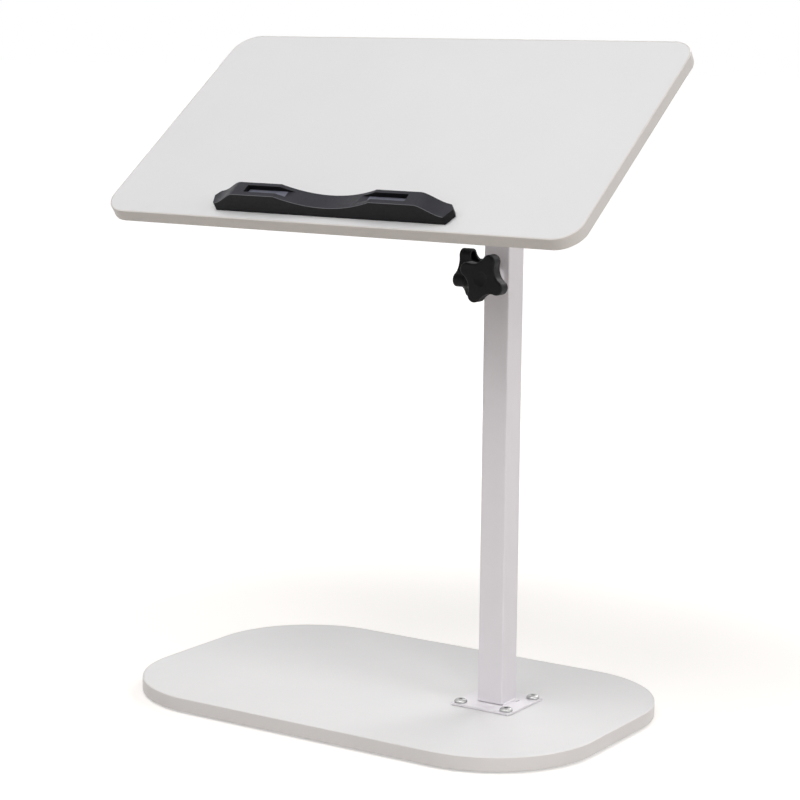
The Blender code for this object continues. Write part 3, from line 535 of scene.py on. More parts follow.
fit(collar, "guide_collar", "stand", moulded_black.material)


# Clamp bosses: turned steel bushes with a chamfered end and a fine ring of weld, on the tube's
# front and left faces and coated with it. Each carries the thread of a clamp screw.
BOSS_CHAMFER = 0.0008
BOSS_WELD = 0.0006
BOSS_WELD_ROUNDING = 0.8 * BOSS_WELD

radius = (boss_high.x - boss_low.x) / 2
reach = tube_low.y - boss_low.y
boss = rod("boss_pattern", radius, 0, reach)
round_edges(boss, at_height(reach), BOSS_CHAMFER, steps=1)
weld_ring = rod("weld_ring", radius + BOSS_WELD, NEAR, BOSS_WELD)
round_edges(weld_ring, at_height(BOSS_WELD), BOSS_WELD_ROUNDING, steps=4)
cut(boss, weld_ring, "UNION")
cut(boss, rod("thread_hole", CLAMP_HOLE_RADIUS, -OVERRUN, reach + OVERRUN))
for side, (origin, heading) in CLAMPS.items():
    bush = stand_out(copied(boss, f"{side}_bush", (0, 0, 0)), origin, heading)
    fit(bush, f"{side}_boss", "stand", powder_coat.material)
throw_away(boss)


# Clamp pads: small discs of natural nylon between each screw and the mast, so that the screw
# doesn't mark the coat. They stay as solids, hidden in the tube.
natural_nylon = Finish("natural_nylon")
natural_nylon.colour(0.004, (0.70, 0.69, 0.64), (0.66, 0.65, 0.60))
natural_nylon.roughness(0.002, 0.42, 0.56, detail=3)
natural_nylon.relief(0.0005, 0.00003)
for side in CLAMPS:
    frame["nodes"][f"{side}_pad"].material_slots[0].material = natural_nylon.material


# Clamp screws: zinc-plated M8 studs that are moulded into their knobs. The thread is a row of
# fine grooves, 1.25 mm apart.
STUD_PITCH = 0.00125
THREAD_ROOT_SHARE = 0.86
STUD_STEPS = 32


def threaded(name, radius, low, high):
    """A round bar with thread grooves: rings cut along it, every other one drawn in."""
    turns = round((high - low) / STUD_PITCH)
    bar = rod(name, radius, low, high, STUD_STEPS)
    pick(bar, "EDGE", is_upright)
    bpy.ops.mesh.subdivide(number_cuts=2 * turns - 1)
    groove = (high - low) / (2 * turns)
    pick(bar, "VERT", lambda vert: round((vert.co.z - low) / groove) % 2 == 1)
    bpy.ops.transform.resize(value=(THREAD_ROOT_SHARE, THREAD_ROOT_SHARE, 1),
                             center_override=(0, 0, 0))
    stop_editing()
    return bar


stud_low, stud_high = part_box("front_stud")
for side, (origin, heading) in CLAMPS.items():
    stud = threaded(f"{side}_screw", (stud_high.x - stud_low.x) / 2, tube_low.y - stud_high.y,
                    tube_low.y - stud_low.y)
    stand_out(stud, origin, heading)
    fit(stud, f"{side}_stud", f"{side}_clamp_knob", zinc_plate.material)


# Star knobs: black moulded plastic with four round lobes, a rounded front rim and a shallow dish
# in the front. Behind, each is hollow, with a hub round the screw and a rib into every lobe.
KNOB_THICKNESS = 0.0135
KNOB_TIP = 0.027              # from the axis to the end of a lobe
KNOB_CORE = 0.0184            # width of the square between the four arms
KNOB_TAPER_SHARE = 0.6825     # each arm's width at its end, as a share of the core's
KNOB_TIP_ROUNDING = 0.0061
KNOB_VALLEY_ROUNDING = 0.0114
KNOB_RIM = 0.0022
KNOB_BACK_RIM = 0.0006
KNOB_WALL = 0.0024
KNOB_RECESS = 0.0085
KNOB_HUB_RADIUS = 0.0085
KNOB_HUB_SET_BACK = 0.0045    # from the lobes' back to the end of the hub
KNOB_RIB = 0.0016
KNOB_RIB_SET_BACK = 0.0055
KNOB_DISH_RADIUS = 0.0080
KNOB_DISH_DEPTH = 0.0018
KNOB_BORE_DEPTH = 0.0106
FRONT_KNOB_TURN = math.radians(64)
SIDE_KNOB_TURN = math.radians(72.5)
LOBE_STEPS = 12
DISH_STEPS = 64
DISH_RINGS = 5


def dish_tool(radius, depth, face):
    """A disc whose underside bulges like a shallow bowl, for pressing a dish into a face."""
    sphere = (radius ** 2 + depth ** 2) / (2 * depth)
    tool = rod("dish", radius, face - NEAR, face + OVERRUN, DISH_STEPS)
    pick(tool, "FACE", at_height(face - NEAR))
    ring = radius / (DISH_RINGS + 1)
    for number in range(1, DISH_RINGS + 1):
        outer = radius - ring * (number - 1)
        sink = math.sqrt(sphere ** 2 - (outer - ring) ** 2) - math.sqrt(sphere ** 2 - outer ** 2)
        bpy.ops.mesh.inset(thickness=ring, depth=sink)
    stop_editing()
    return tool


def star_knob(name, share, hub_set_back, bore_depth):
    """A star knob along +Z with the back of its lobes at z = 0, its sizes scaled by the share."""
    half = KNOB_CORE / 2 * share
    thick = KNOB_THICKNESS * share
    arm = KNOB_TIP * share - half
    star = block(name, (-half, -half, 0), (half, half, thick))
    for turn in range(4):
        angle = turn * QUARTER_TURN
        outward = Vector((round(math.cos(angle)), round(math.sin(angle)), 0))
        pick(star, "FACE", lambda face: (face.normal.dot(outward) > FACING
                                         and face.calc_center_median().xy.length < half + NEAR))
        bpy.ops.mesh.extrude_region_move(TRANSFORM_OT_translate={"value": outward * arm})
        narrowing = [1 if along else KNOB_TAPER_SHARE for along in outward.xy]
        bpy.ops.transform.resize(value=(*narrowing, 1), center_override=(0, 0, 0))
    pick(star, "FACE", lambda face: True)
    bpy.ops.mesh.dissolve_limited(angle_limit=math.radians(1))
    stop_editing()
    round_edges(star, lambda edge: is_upright(edge) and edge.verts[0].co.xy.length > half + arm,
                KNOB_TIP_ROUNDING * share, LOBE_STEPS)
    round_edges(star, lambda edge: is_upright(edge) and edge.verts[0].co.xy.length < 2 * half,
                KNOB_VALLEY_ROUNDING * share, LOBE_STEPS)
    round_edges(star, at_height(thick), KNOB_RIM * share, steps=6)
    round_edges(star, at_height(0), KNOB_BACK_RIM * share, steps=2)
    recess = KNOB_RECESS * share
    pick(star, "FACE", at_height(0))
    bpy.ops.mesh.inset(thickness=(KNOB_WALL - KNOB_BACK_RIM) * share)
    bpy.ops.mesh.extrude_region_move(TRANSFORM_OT_translate={"value": (0, 0, recess)})
    stop_editing()
    floor = recess + KNOB_WALL / 2
    cut(star, rod("hub", KNOB_HUB_RADIUS * share, hub_set_back, floor), "UNION")
    tip = (KNOB_TIP - KNOB_WALL / 2) * share
    rib = KNOB_RIB / 2
    for long_x, long_y in ((tip, rib), (rib, tip)):
        cross_rib = block("rib", (-long_x, -long_y, KNOB_RIB_SET_BACK * share),
                          (long_x, long_y, floor))
        cut(star, cross_rib, "UNION")
    cut(star, dish_tool(KNOB_DISH_RADIUS * share, KNOB_DISH_DEPTH * share, thick))
    cut(star, rod("bore", CLAMP_HOLE_RADIUS, hub_set_back - OVERRUN, bore_depth))
    return star


knob = star_knob("knob_pattern", 1.0, KNOB_HUB_SET_BACK, KNOB_BORE_DEPTH)
lobes_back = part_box("front_knob")[1].y
for side, turn in (("front", FRONT_KNOB_TURN), ("side", SIDE_KNOB_TURN)):
    origin, heading = CLAMPS[side]
    star = copied(knob, f"{side}_star_knob", (0, 0, tube_low.y - lobes_back))
    put(star, (0, 0, 0), (0, 0, turn))
    stand_out(star, origin, heading)
    fit(star, f"{side}_knob", f"{side}_clamp_knob", moulded_black.material)
throw_away(knob)


# Mast: 25 mm square steel tube with a 1.5 mm wall, powder-coated, sliding in the outer tube. The
# clamp pads press on its front and left faces.
MAST_WALL = 0.0015

mast = square_tube("mast_tube", mast_low, mast_high, MAST_CORNER, MAST_WALL)
fit(mast, "inner_tube", "mast", powder_coat.material)


# Mast plug: a black moulded cap on the mast's lower end, hidden in the outer tube, that guides it.
# It stays as a solid.
frame["nodes"]["inner_tube_plug"].material_slots[0].material = moulded_black.material


# Fork: 2.5 mm steel bent into a U and welded to the mast's end, with round-topped ears and a bolt
# hole through both. It is powder-coated.
FORK_EAR = 0.0025
FORK_BASE = 0.003
FORK_BEND_OUTSIDE = 0.0024
FORK_BEND_INSIDE = 0.0012
FORK_ARRIS = 0.0003
BOLT_HOLE_RADIUS = 0.0043
EAR_STEPS = 28


def runs_along_x(edge):
    first, last = (vert.co for vert in edge.verts)
    return (first.yz - last.yz).length < NEAR


def soften(piece, width):
    """Rounds every sharp edge of a finished shape a little."""
    arris = piece.modifiers.new("arris", "BEVEL")
    arris.width = width
    arris.segments = 2
    arris.limit_method = "ANGLE"
    arris.angle_limit = SMOOTH_BELOW
    apply_modifier(piece, arris)


def drill_along_x(piece, radius, low, high, pivot):
    """A round hole along X, through the point pivot."""
    bit = rod("bit", radius, low - OVERRUN, high + OVERRUN)
    cut(piece, put(bit, (0, pivot.y, pivot.z), (0, QUARTER_TURN, 0)))


sleeve_low, sleeve_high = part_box("spacer_sleeve")
pivot = (sleeve_low + sleeve_high) / 2
low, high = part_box("hinge_fork")
fork = block("fork", low, high)
ear_radius = (high.y - low.y) / 2
round_edges(fork, lambda edge: runs_along_x(edge) and at_height(high.z)(edge),
            ear_radius - NEAR, EAR_STEPS)
round_edges(fork, lambda edge: at_height(low.z)(edge) and not runs_along_x(edge),
            FORK_BEND_OUTSIDE, CORNER_STEPS)
between = block("between_ears", (low.x + FORK_EAR, low.y - OVERRUN, low.z + FORK_BASE),
                (high.x - FORK_EAR, high.y + OVERRUN, high.z + OVERRUN))
round_edges(between, lambda edge: at_height(low.z + FORK_BASE)(edge) and not runs_along_x(edge),
            FORK_BEND_INSIDE, CORNER_STEPS)
cut(fork, between)
drill_along_x(fork, BOLT_HOLE_RADIUS, low.x, high.x, pivot)
soften(fork, FORK_ARRIS)
fit(fork, "hinge_fork", "mast", powder_coat.material)


# Rings on the pivot: two nylon friction washers between fork and bracket, a zinc-plated spacer
# sleeve between the bracket's ears and a zinc-plated washer under the tilt knob.
RING_ARRIS_SHARE = 0.2        # of its thickness or its wall, whichever is less
RING_STEPS = 64


def pivot_ring(name, node, body, material, bore):
    """A ring along X: the side wall of a round bar, walled inwards, with its edges eased."""
    low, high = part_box(node)
    radius = (high.z - low.z) / 2
    bpy.ops.object.select_all(action="DESELECT")
    bpy.ops.mesh.primitive_cylinder_add(vertices=RING_STEPS, radius=radius, depth=high.x - low.x,
                                        end_fill_type="NOTHING", location=(low + high) / 2,
                                        rotation=(0, QUARTER_TURN, 0))
    ring = settled(name)
    wall = ring.modifiers.new("wall", "SOLIDIFY")
    wall.thickness = radius - bore
    wall.offset = -1
    apply_modifier(ring, wall)
    soften(ring, min(high.x - low.x, radius - bore) * RING_ARRIS_SHARE)
    fit(ring, node, body, material)


for side in ("left", "right"):
    pivot_ring(f"{side}_friction_ring", f"friction_washer_{side}", "mast",
               natural_nylon.material, BOLT_HOLE_RADIUS)
pivot_ring("spacer_tube", "spacer_sleeve", "top", zinc_plate.material, BOLT_HOLE_RADIUS)
pivot_ring("knob_washer", "tilt_washer", "tilt_clamp", zinc_plate.material,
           BOLT_HOLE_RADIUS)


# Pivot bolt: a zinc-plated M8 hexagon bolt with a chamfered head, pushed through the fork from
# the left, with its thread in the tilt knob.
BOLT_RADIUS = 0.004
BOLT_HEAD_ACROSS_CORNERS = 0.0150
BOLT_HEAD_THICKNESS = 0.0053
BOLT_HEAD_CHAMFER = 0.0010
BOLT_THREAD_LENGTH = 0.016
BLANK_STEPS = 96

low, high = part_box("pivot_bolt")
length = high.x - low.x
bolt = rod("hexagon_bolt", BOLT_HEAD_ACROSS_CORNERS / 2, 0, BOLT_HEAD_THICKNESS, steps=6)
turned_blank = rod("blank", BOLT_HEAD_ACROSS_CORNERS / 2 - NEAR, -NEAR, BOLT_HEAD_THICKNESS + NEAR,
                   BLANK_STEPS)
round_edges(turned_blank, at_height(-NEAR), BOLT_HEAD_CHAMFER, steps=1)
cut(bolt, turned_blank, "INTERSECT")
thread_start = length - BOLT_THREAD_LENGTH
cut(bolt, rod("shank", BOLT_RADIUS, BOLT_HEAD_THICKNESS / 2, thread_start), "UNION")
cut(bolt, threaded("thread", BOLT_RADIUS, thread_start - NEAR, length), "UNION")
stand_out(bolt, (low.x, pivot.y, pivot.z), QUARTER_TURN)
fit(bolt, "pivot_bolt", "mast", zinc_plate.material)


# Tilt knob: a smaller star of the same make on the right end of the pivot bolt. Its hub stands out
# behind its lobes and presses on the washer.
TILT_KNOB_SHARE = 0.70
TILT_KNOB_TURN = math.radians(20)
TILT_HUB_REACH = 0.0012
TILT_BORE_DEPTH = 0.0068

hub_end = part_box("tilt_knob")[0].x
star = star_knob("tilt_star_knob", TILT_KNOB_SHARE, -TILT_HUB_REACH, TILT_BORE_DEPTH)
put(star, (0, 0, 0), (0, 0, TILT_KNOB_TURN))
stand_out(star, (hub_end + TILT_HUB_REACH, pivot.y, pivot.z), QUARTER_TURN)
fit(star, "tilt_knob", "tilt_clamp_knob", moulded_black.material)


# Top board: 14 mm chipboard faced with white melamine, cut to an oblong with small round corners.
# It is made flat, with the middle of its upper face at the origin, and then laid on its tilt.
TOP_WIDTH = 0.580
TOP_DEPTH = 0.315
TOP_THICKNESS = 0.014
TOP_CORNER = 0.028

surface = next(mount for mount in frame["record"]["mounts"] if mount["name"] == "top_surface")
surface_normal = Vector(surface["axis"])
TOP_TILT = math.atan2(-surface_normal.y, surface_normal.z)
low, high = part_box("top_edge_band")
top_middle = (low + high) / 2 + surface_normal * TOP_THICKNESS / 2


def lay_on_tilt(piece):
    """Lays a piece made flat round the top's middle on the tilted top."""
    put(piece, top_middle, (TOP_TILT, 0, 0))


top_reach = Vector((TOP_WIDTH / 2, TOP_DEPTH / 2, 0))
top_low = -top_reach - Vector((0, 0, TOP_THICKNESS))
top_board = block("melamine_top", top_low + inset, top_reach - inset)
round_edges(top_board, is_upright, TOP_CORNER - inset.x, BASE_CORNER_STEPS)
round_edges(top_board, at_height(top_low.z, top_reach.z), BOARD_ARRIS, steps=1)
lay_on_tilt(top_board)
# The top's melamine is painted a little darker and cooler than the base's: painted shade, as less
# light falls on the tilted top.
top_melamine_painted_shade = melamine("white_melamine_painted_shade", 0.13, (0.765, 0.760, 0.762), (0.748, 0.745, 0.750))
fit(top_board, "top_board", "top", top_melamine_painted_shade)


# Edge band of the top: the same kind of white plastic strip as on the base. Its colour is painted
# a little warmer and greyer than the base's: painted shade, tinted warm like light off the floor.
top_band_painted_shade = band_plastic("white_band_plastic_painted_shade", (0.705, 0.672, 0.646), (0.690, 0.656, 0.632))
top_band = edge_band("top_band", top_low, top_reach, TOP_CORNER)
lay_on_tilt(top_band)
fit(top_band, "top_edge_band", "top", top_band_painted_shade)


# Tilt bracket: a 2.5 mm steel plate under the top with two tapering ears bent down from it to the
# pivot, powder-coated.
BRACKET_WIDTH = 0.080
BRACKET_DEPTH = 0.060
BRACKET_SHEET = 0.0025
BRACKET_CORNER = 0.006
BRACKET_ARRIS = 0.0003
BRACKET_EAR_OUTSIDE = 0.0114      # from the middle of the pivot to the ears' outer faces
BRACKET_EAR_RADIUS = 0.011
BRACKET_EAR_ROUNDING = 0.9 * BRACKET_EAR_RADIUS
BRACKET_EAR_ROOT = 0.036
BRACKET_SCREW_INSET = 0.008
BRACKET_SCREW_HOLE = 0.0023
TOUCH = 0.0003

to_surface = Matrix.Rotation(-TOP_TILT, 3, "X")
hinge = to_surface @ (pivot - top_middle)      # the pivot, seen from the flat top
plate_top = top_low.z - TOUCH
plate_low = plate_top - BRACKET_SHEET
half = Vector((BRACKET_WIDTH / 2, BRACKET_DEPTH / 2, 0))
bracket = block("bracket", (hinge.x - half.x, hinge.y - half.y, plate_low),
                (hinge.x + half.x, hinge.y + half.y, plate_top))
round_edges(bracket, is_upright, BRACKET_CORNER, CORNER_STEPS)
for side in (-1, 1):
    near, far = sorted((side * (BRACKET_EAR_OUTSIDE - BRACKET_SHEET), side * BRACKET_EAR_OUTSIDE))
    ear_end = hinge.z - BRACKET_EAR_RADIUS
    ear = block("ear", (hinge.x + near, hinge.y - BRACKET_EAR_ROOT / 2, ear_end),
                (hinge.x + far, hinge.y + BRACKET_EAR_ROOT / 2, plate_low + BRACKET_SHEET / 2))
    pick(ear, "FACE", at_height(ear_end))
    bpy.ops.transform.resize(value=(1, 2 * BRACKET_EAR_RADIUS / BRACKET_EAR_ROOT, 1),
                             center_override=(hinge.x, hinge.y, ear_end))
    stop_editing()
    round_edges(ear, lambda edge: runs_along_x(edge) and at_height(ear_end)(edge),
                BRACKET_EAR_ROUNDING, EAR_STEPS)
    cut(bracket, ear, "UNION")
drill_along_x(bracket, BOLT_HOLE_RADIUS, hinge.x - BRACKET_EAR_OUTSIDE,
              hinge.x + BRACKET_EAR_OUTSIDE, hinge)
screw_reach = half - Vector((BRACKET_SCREW_INSET, BRACKET_SCREW_INSET, 0))
bracket_screws = [(hinge.x + x * screw_reach.x, hinge.y + y * screw_reach.y)
                  for x in (-1, 1) for y in (-1, 1)]
for place in bracket_screws:
    cut(bracket, rod("screw_hole", BRACKET_SCREW_HOLE, plate_low - OVERRUN, plate_top + OVERRUN,
                     steps=32, centre=place))
soften(bracket, BRACKET_ARRIS)
lay_on_tilt(bracket)
fit(bracket, "tilt_bracket", "top", powder_coat.material)


# Bracket screws: four zinc-plated pan-head wood screws with a cross recess, driven up through the
# bracket into the board.
PAN_RADIUS = 0.004
PAN_HEIGHT = 0.0022
PAN_DOME = 0.0014
WOOD_SCREW_RADIUS = 0.002
WOOD_SCREW_TAPER = 0.0016     # of its tip
CROSS_LENGTH = 0.0042
CROSS_WIDTH = 0.0009
CROSS_DEPTH = 0.0014
BRACKET_SCREW_REACH = 0.0121


def wood_screw(name, reach):
    """A pan-head screw that points up: its head hangs under z = 0, and its tip is at the reach."""
    screw = rod(name, PAN_RADIUS, -PAN_HEIGHT, 0)
    round_edges(screw, at_height(-PAN_HEIGHT), PAN_DOME, steps=6)
    shank = rod("shank", WOOD_SCREW_RADIUS, -PAN_HEIGHT / 2, reach)
    round_edges(shank, at_height(reach), WOOD_SCREW_TAPER, steps=1)
    cut(screw, shank, "UNION")
    arm, edge = CROSS_LENGTH / 2, CROSS_WIDTH / 2
    for long_x, long_y in ((arm, edge), (edge, arm)):
        cut(screw, block("cross", (-long_x, -long_y, -PAN_HEIGHT - OVERRUN),
                         (long_x, long_y, CROSS_DEPTH - PAN_HEIGHT)))
    return screw


screw = wood_screw("screw_pattern", BRACKET_SCREW_REACH)
for number, (x, y) in enumerate(bracket_screws, start=1):
    one = copied(screw, f"pan_screw_{number}", (x, y, plate_low - TOUCH))
    lay_on_tilt(one)
    fit(one, f"bracket_screw_{number}", "top", zinc_plate.material)
throw_away(screw)


# Ledge: one black moulding that stops a book from sliding off the top. It has a hollow middle,
# two raised parts with a pen pocket in each, and ends that slope down to a blunt point. Its upper
# side is a satin black painted lighter and bluer as painted light, the long front edge has a
# painted highlight and the floors of the pockets are painted a lighter grey as painted light.
LEDGE_MIDDLE_X = 0.001
LEDGE_LENGTH = 0.293
LEDGE_DEPTH = 0.0203
LEDGE_FROM_EDGE = 0.011
LEDGE_HEIGHT = 0.0228
LEDGE_VALLEY_HEIGHT = 0.0116
LEDGE_LIP_HEIGHT = 0.0090
LEDGE_VALLEY_HALF = 0.0585
LEDGE_SLOPE = 0.0337
LEDGE_LIP = 0.0018
LEDGE_FRONT_CUT = 0.0050      # how far each end is cut back at its front corner
LEDGE_BACK_CUT = 0.0042       # and at its back corner
LEDGE_TIP = 0.013             # from the front to the end's foremost point
LEDGE_END_ROUNDING = 0.0020   # of the four corners
LEDGE_TIP_ROUNDING = 0.0004
LEDGE_SLOPE_SAG = 0.85        # below 1, a slope falls sooner than a plain wave
LEDGE_FRONT_ARRIS = 0.0013
LEDGE_ARRIS = 0.0006
POCKET_WIDTH = 0.0105
POCKET_DEPTH = 0.0058
POCKET_FROM_FRONT = 0.0055
POCKET_INNER_END = 0.038      # where its floor has run out on the slope of the hollow
POCKET_OUTER_END = 0.099
POCKET_CORNER = 0.0012
POCKET_PAINTED_LIGHT_FROM = 0.050      # the floor is painted a lighter grey, as painted light, beyond this distance from the middle
ROUNDED_FROM = 0.3            # the faces of the rounded edge lie between these two
ROUNDED_TO = 0.93
VALLEY_STATIONS = 20
SLOPE_STATIONS = 14

ledge_half = LEDGE_LENGTH / 2
slope_start = ledge_half - LEDGE_LIP - LEDGE_SLOPE
ledge_front = LEDGE_FROM_EDGE - TOP_DEPTH / 2
ledge_back = ledge_front + LEDGE_DEPTH
ledge_low = TOUCH
ledge_top_z = ledge_low + LEDGE_HEIGHT


def ledge_top(x):
    """The height of the ledge at a distance from its middle."""
    x = abs(x)
    if x < LEDGE_VALLEY_HALF:
        rise = (x / LEDGE_VALLEY_HALF) ** 2
        return LEDGE_VALLEY_HEIGHT + (LEDGE_HEIGHT - LEDGE_VALLEY_HEIGHT) * rise
    if x < slope_start:
        return LEDGE_HEIGHT
    down = min((x - slope_start) / LEDGE_SLOPE, 1) ** LEDGE_SLOPE_SAG
    return LEDGE_HEIGHT - (LEDGE_HEIGHT - LEDGE_LIP_HEIGHT) * (1 - math.cos(math.pi * down)) / 2


stations = [LEDGE_VALLEY_HALF * step / VALLEY_STATIONS for step in range(VALLEY_STATIONS + 1)]
stations += [slope_start + LEDGE_SLOPE * step / SLOPE_STATIONS
             for step in range(SLOPE_STATIONS + 1)]
ledge = block("book_ledge", (-ledge_half - OVERRUN, ledge_front, ledge_low),
              (ledge_half + OVERRUN, ledge_back, ledge_top_z))
for x in sorted({side * x for x in stations for side in (-1, 1)}):
    pick(ledge, "VERT", lambda vert: True)
    bpy.ops.mesh.bisect(plane_co=(x, 0, 0), plane_no=(1, 0, 0))
    stop_editing()
for x in sorted({round(vert.co.x, 6) for vert in ledge.data.vertices}):
    pick(ledge, "VERT", lambda vert: (abs(vert.co.x - x) < NEAR
                                      and abs(vert.co.z - ledge_top_z) < NEAR))
    bpy.ops.transform.translate(value=(0, 0, ledge_top(x) - LEDGE_HEIGHT))
stop_editing()


def on_front_arris(edge):
    """True for the long upper edge along the ledge's front."""
    ends = [vert.co for vert in edge.verts]
    return (abs(ends[0].x - ends[1].x) > NEAR
            and all(abs(end.y - ledge_front) < NEAR < end.z - ledge_low for end in ends))


round_edges(ledge, on_front_arris, LEDGE_FRONT_ARRIS, steps=3)
plan = block("plan", (-ledge_half, ledge_front - NEAR, ledge_low - NEAR),
             (ledge_half, ledge_back + NEAR, ledge_top_z + OVERRUN))
pick(plan, "VERT", lambda vert: True)
bpy.ops.mesh.bisect(plane_co=(0, ledge_front + LEDGE_TIP, 0), plane_no=(0, 1, 0))
for side in (-1, 1):
    for edge_y, step_in in ((ledge_front, LEDGE_FRONT_CUT), (ledge_back, LEDGE_BACK_CUT)):
        pick(plan, "VERT", lambda vert: (vert.co.x * side > 0
                                         and abs(vert.co.y - edge_y) < 2 * NEAR))
        bpy.ops.transform.translate(value=(-side * step_in, 0, 0))
stop_editing()
round_edges(plan, lambda edge: is_upright(edge) and abs(edge.verts[0].co.x) > ledge_half - NEAR,
            LEDGE_TIP_ROUNDING, steps=3)
round_edges(plan, lambda edge: (is_upright(edge)
                                and abs(edge.verts[0].co.x) < ledge_half - LEDGE_BACK_CUT / 2),
            LEDGE_END_ROUNDING, steps=5)
cut(ledge, plan, "INTERSECT")
for side in (-1, 1):
    near, far = sorted((side * POCKET_INNER_END, side * POCKET_OUTER_END))
    pocket = block("pocket", (near, ledge_front + POCKET_FROM_FRONT, ledge_top_z - POCKET_DEPTH),
                   (far, ledge_front + POCKET_FROM_FRONT + POCKET_WIDTH, ledge_top_z + OVERRUN))
    round_edges(pocket, is_upright, POCKET_CORNER, steps=5)
    pick(pocket, "VERT", lambda vert: True)
    bpy.ops.mesh.bisect(plane_co=(side * POCKET_PAINTED_LIGHT_FROM, 0, 0), plane_no=(1, 0, 0))
    stop_editing()
    cut(ledge, pocket)
soften(ledge, LEDGE_ARRIS)
put(ledge, (LEDGE_MIDDLE_X, 0, 0))
lay_on_tilt(ledge)
fit(ledge, "ledge", "top", moulded_black.material)


def refinish(piece, finish, wanted):
    """Gives the wanted faces of a moulding a finish of their own."""
    piece.data.materials.append(finish.material)
    for face in piece.data.polygons:
        if wanted(face):
            face.material_index = len(piece.data.materials) - 1


def faces_up(face):
    """True for the ledge's upper faces and the floors of its pockets."""
    return (to_surface @ face.normal).z > FACING


def on_pocket_floor(face):
    """True for the part of a pocket's floor that has its walls round it."""
    place = to_surface @ (face.center - top_middle)
    across = place.y - ledge_front - POCKET_FROM_FRONT - POCKET_WIDTH / 2
    return (faces_up(face) and abs(place.z - (ledge_top_z - POCKET_DEPTH)) < 10 * NEAR
            and POCKET_PAINTED_LIGHT_FROM < abs(place.x - LEDGE_MIDDLE_X) < POCKET_OUTER_END
            and abs(across) < POCKET_WIDTH / 4)


def on_rounded_edge(face):
    """True for the rounded upper edge along the ledge's front."""
    normal = to_surface @ face.normal
    place = to_surface @ (face.center - top_middle)
    return (place.y < ledge_front + LEDGE_FRONT_ARRIS and normal.y < -ROUNDED_FROM
            and ROUNDED_FROM < normal.z < ROUNDED_TO)


# The ledge's upward faces: a satin black, painted lighter and bluer than the rest of the moulding
# as painted light from above.
satin_black_and_painted_light = Finish("satin_black_and_painted_light")
satin_black_and_painted_light.shader.inputs["Specular IOR Level"].default_value = 0.24
satin_black_and_painted_light.colour(0.012, (0.010, 0.010, 0.015), (0.014, 0.014, 0.020), detail=3)
satin_black_and_painted_light.roughness(0.003, 0.38, 0.52, detail=4)
satin_black_and_painted_light.relief(0.0004, 0.00005)
# The rounded front edge: black painted several times lighter and glossier, a painted highlight
# along the edge.
painted_highlight_black = Finish("painted_highlight_black")
painted_highlight_black.shader.inputs["Specular IOR Level"].default_value = 0.90
painted_highlight_black.colour(0.012, (0.040, 0.040, 0.050), (0.052, 0.052, 0.064), detail=3)
painted_highlight_black.roughness(0.003, 0.26, 0.38, detail=4)
painted_highlight_black.relief(0.0005, 0.00003)
# The enclosed floors of the pockets: a lighter blue-grey than the moulding, painted light on the
# floor between the pocket walls.
painted_light_grey = Finish("painted_light_grey")
painted_light_grey.colour(0.006, (0.100, 0.104, 0.138), (0.130, 0.134, 0.170), detail=3)
painted_light_grey.roughness(0.003, 0.50, 0.65, detail=3)
painted_light_grey.relief(0.0004, 0.00004)
refinish(ledge, satin_black_and_painted_light, faces_up)
refinish(ledge, painted_light_grey, on_pocket_floor)
refinish(ledge, painted_highlight_black, on_rounded_edge)


# Ledge screws: two longer pan-head wood screws like them, driven up through the board into
# the ledge.
LEDGE_SCREW_FROM_MIDDLE = 0.105
LEDGE_SCREW_REACH = 0.0246

screw = wood_screw("screw_pattern", LEDGE_SCREW_REACH)
for number, side in enumerate((-1, 1), start=1):
    one = copied(screw, f"ledge_pan_screw_{number}",
                 (LEDGE_MIDDLE_X + side * LEDGE_SCREW_FROM_MIDDLE, (ledge_front + ledge_back) / 2,
                  top_low.z - TOUCH))
    lay_on_tilt(one)
    fit(one, f"ledge_screw_{number}", "top", zinc_plate.material)
throw_away(screw)


# Studio: a plain pale floor that shows white to the camera but keeps the table's shadow, even
# light from all round, and large soft lamps.
FLOOR_SIZE = 60.0
FLOOR_COLOUR = (0.62, 0.585, 0.55)
FLOOR_ROUGHNESS = 0.9
FLOOR_GLOW_NEAR = 0.52        # from this at the start of the fade to the next at its end
FLOOR_GLOW_FAR = 1.0
FLOOR_FADE_START = 0.5
FLOOR_FADE_END = 1.6
SKY_LEVEL = 0.08              # of the light from all round; a direct look sees 1
# Each lamp: where it hangs, how wide it is and its power in watts.
LAMPS = {"high_front": ((0, -1.4, 2.9), 1.8, 45),
         "left_front": ((-1.9, -2.0, 2.3), 1.6, 10),
         "right_front": ((1.9, -2.0, 2.3), 1.6, 20),
         "right": ((3.0, -0.4, 1.3), 1.6, 27),
         "behind": ((0.3, 2.4, 2.2), 1.8, 36)}
LAMP_TARGET = (0, 0, 0.4)


def seen_directly(nodes, links):
    """1 where the camera, a reflection or clear glass looks straight at it, otherwise 0."""
    paths = nodes.new("ShaderNodeLightPath")
    total = paths.outputs["Is Camera Ray"]
    for kind in ("Is Glossy Ray", "Is Transmission Ray"):
        either = nodes.new("ShaderNodeMath")
        either.operation = "MAXIMUM"
        links.new(total, either.inputs[0])
        links.new(paths.outputs[kind], either.inputs[1])
        total = either.outputs["Value"]
    return total


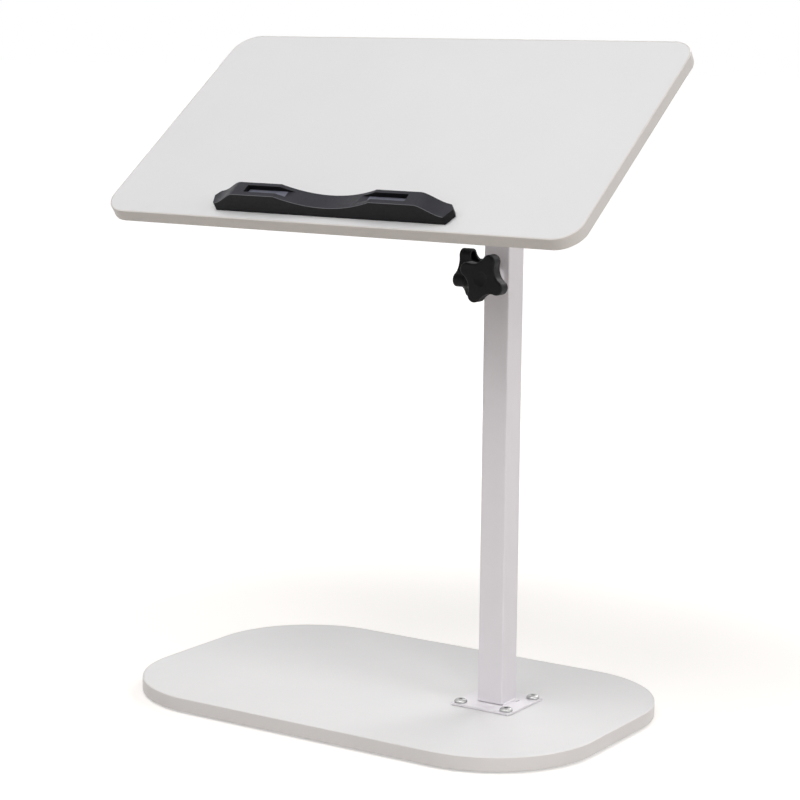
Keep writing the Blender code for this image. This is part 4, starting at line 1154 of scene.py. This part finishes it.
bpy.ops.object.select_all(action="DESELECT")
bpy.ops.mesh.primitive_plane_add(size=FLOOR_SIZE)
floor = settled("floor")
pale = Finish("pale_floor")
pale.shader.inputs["Base Color"].default_value = (*FLOOR_COLOUR, 1)
pale.shader.inputs["Roughness"].default_value = FLOOR_ROUGHNESS
pale.shader.inputs["Emission Color"].default_value = (1, 1, 1, 1)
distance = pale.tree.nodes.new("ShaderNodeVectorMath")
distance.operation = "LENGTH"
pale.tree.links.new(pale.place, distance.inputs[0])
glow = pale.tree.nodes.new("ShaderNodeMapRange")
for name, value in (("From Min", FLOOR_FADE_START), ("From Max", FLOOR_FADE_END),
                    ("To Min", FLOOR_GLOW_NEAR), ("To Max", FLOOR_GLOW_FAR)):
    glow.inputs[name].default_value = value
pale.tree.links.new(distance.outputs["Value"], glow.inputs["Value"])
shown = pale.tree.nodes.new("ShaderNodeMath")
shown.operation = "MULTIPLY"
pale.tree.links.new(glow.outputs["Result"], shown.inputs[0])
pale.tree.links.new(seen_directly(pale.tree.nodes, pale.tree.links), shown.inputs[1])
pale.tree.links.new(shown.outputs["Value"], pale.shader.inputs["Emission Strength"])
floor.data.materials.append(pale.material)

world = bpy.data.worlds.new("studio")
bpy.context.scene.world = world
world.use_nodes = True
sky = world.node_tree.nodes["Background"]
sky.inputs["Color"].default_value = (1, 1, 1, 1)
level = world.node_tree.nodes.new("ShaderNodeMapRange")
level.inputs["To Min"].default_value = SKY_LEVEL
level.inputs["To Max"].default_value = 1.0
links = world.node_tree.links
links.new(seen_directly(world.node_tree.nodes, links), level.inputs["Value"])
links.new(level.outputs["Result"], sky.inputs["Strength"])

for name, (place, size, power) in LAMPS.items():
    light = bpy.data.lights.new(name, "AREA")
    light.shape = "DISK"
    light.size = size
    light.energy = power
    lamp = bpy.data.objects.new(name, light)
    bpy.context.scene.collection.objects.link(lamp)
    lamp.location = place
    lamp.rotation_euler = (Vector(LAMP_TARGET) - Vector(place)).to_track_quat("-Z", "Y").to_euler()


# Camera: where the photo was taken from, to the right of the table and just above its top.
LENS_MM = 102.83
SENSOR_MM = 36.0
CAMERA_PLACE = (1.3271, -2.0221, 0.72955)
CAMERA_TURN = math.radians(33.211)      # to the left of straight ahead
CAMERA_PITCH = math.radians(-9.3145)
CAMERA_ROLL = math.radians(0.538)

lens = bpy.data.cameras.new("camera")
lens.lens = LENS_MM
lens.sensor_width = SENSOR_MM
camera = bpy.data.objects.new("camera", lens)
bpy.context.scene.collection.objects.link(camera)
camera.location = CAMERA_PLACE
camera.rotation_euler = (Matrix.Rotation(CAMERA_TURN, 3, "Z")
                         @ Matrix.Rotation(QUARTER_TURN + CAMERA_PITCH, 3, "X")
                         @ Matrix.Rotation(CAMERA_ROLL, 3, "Z")).to_euler()
bpy.context.scene.camera = camera
bpy.context.scene.view_settings.view_transform = "Standard"
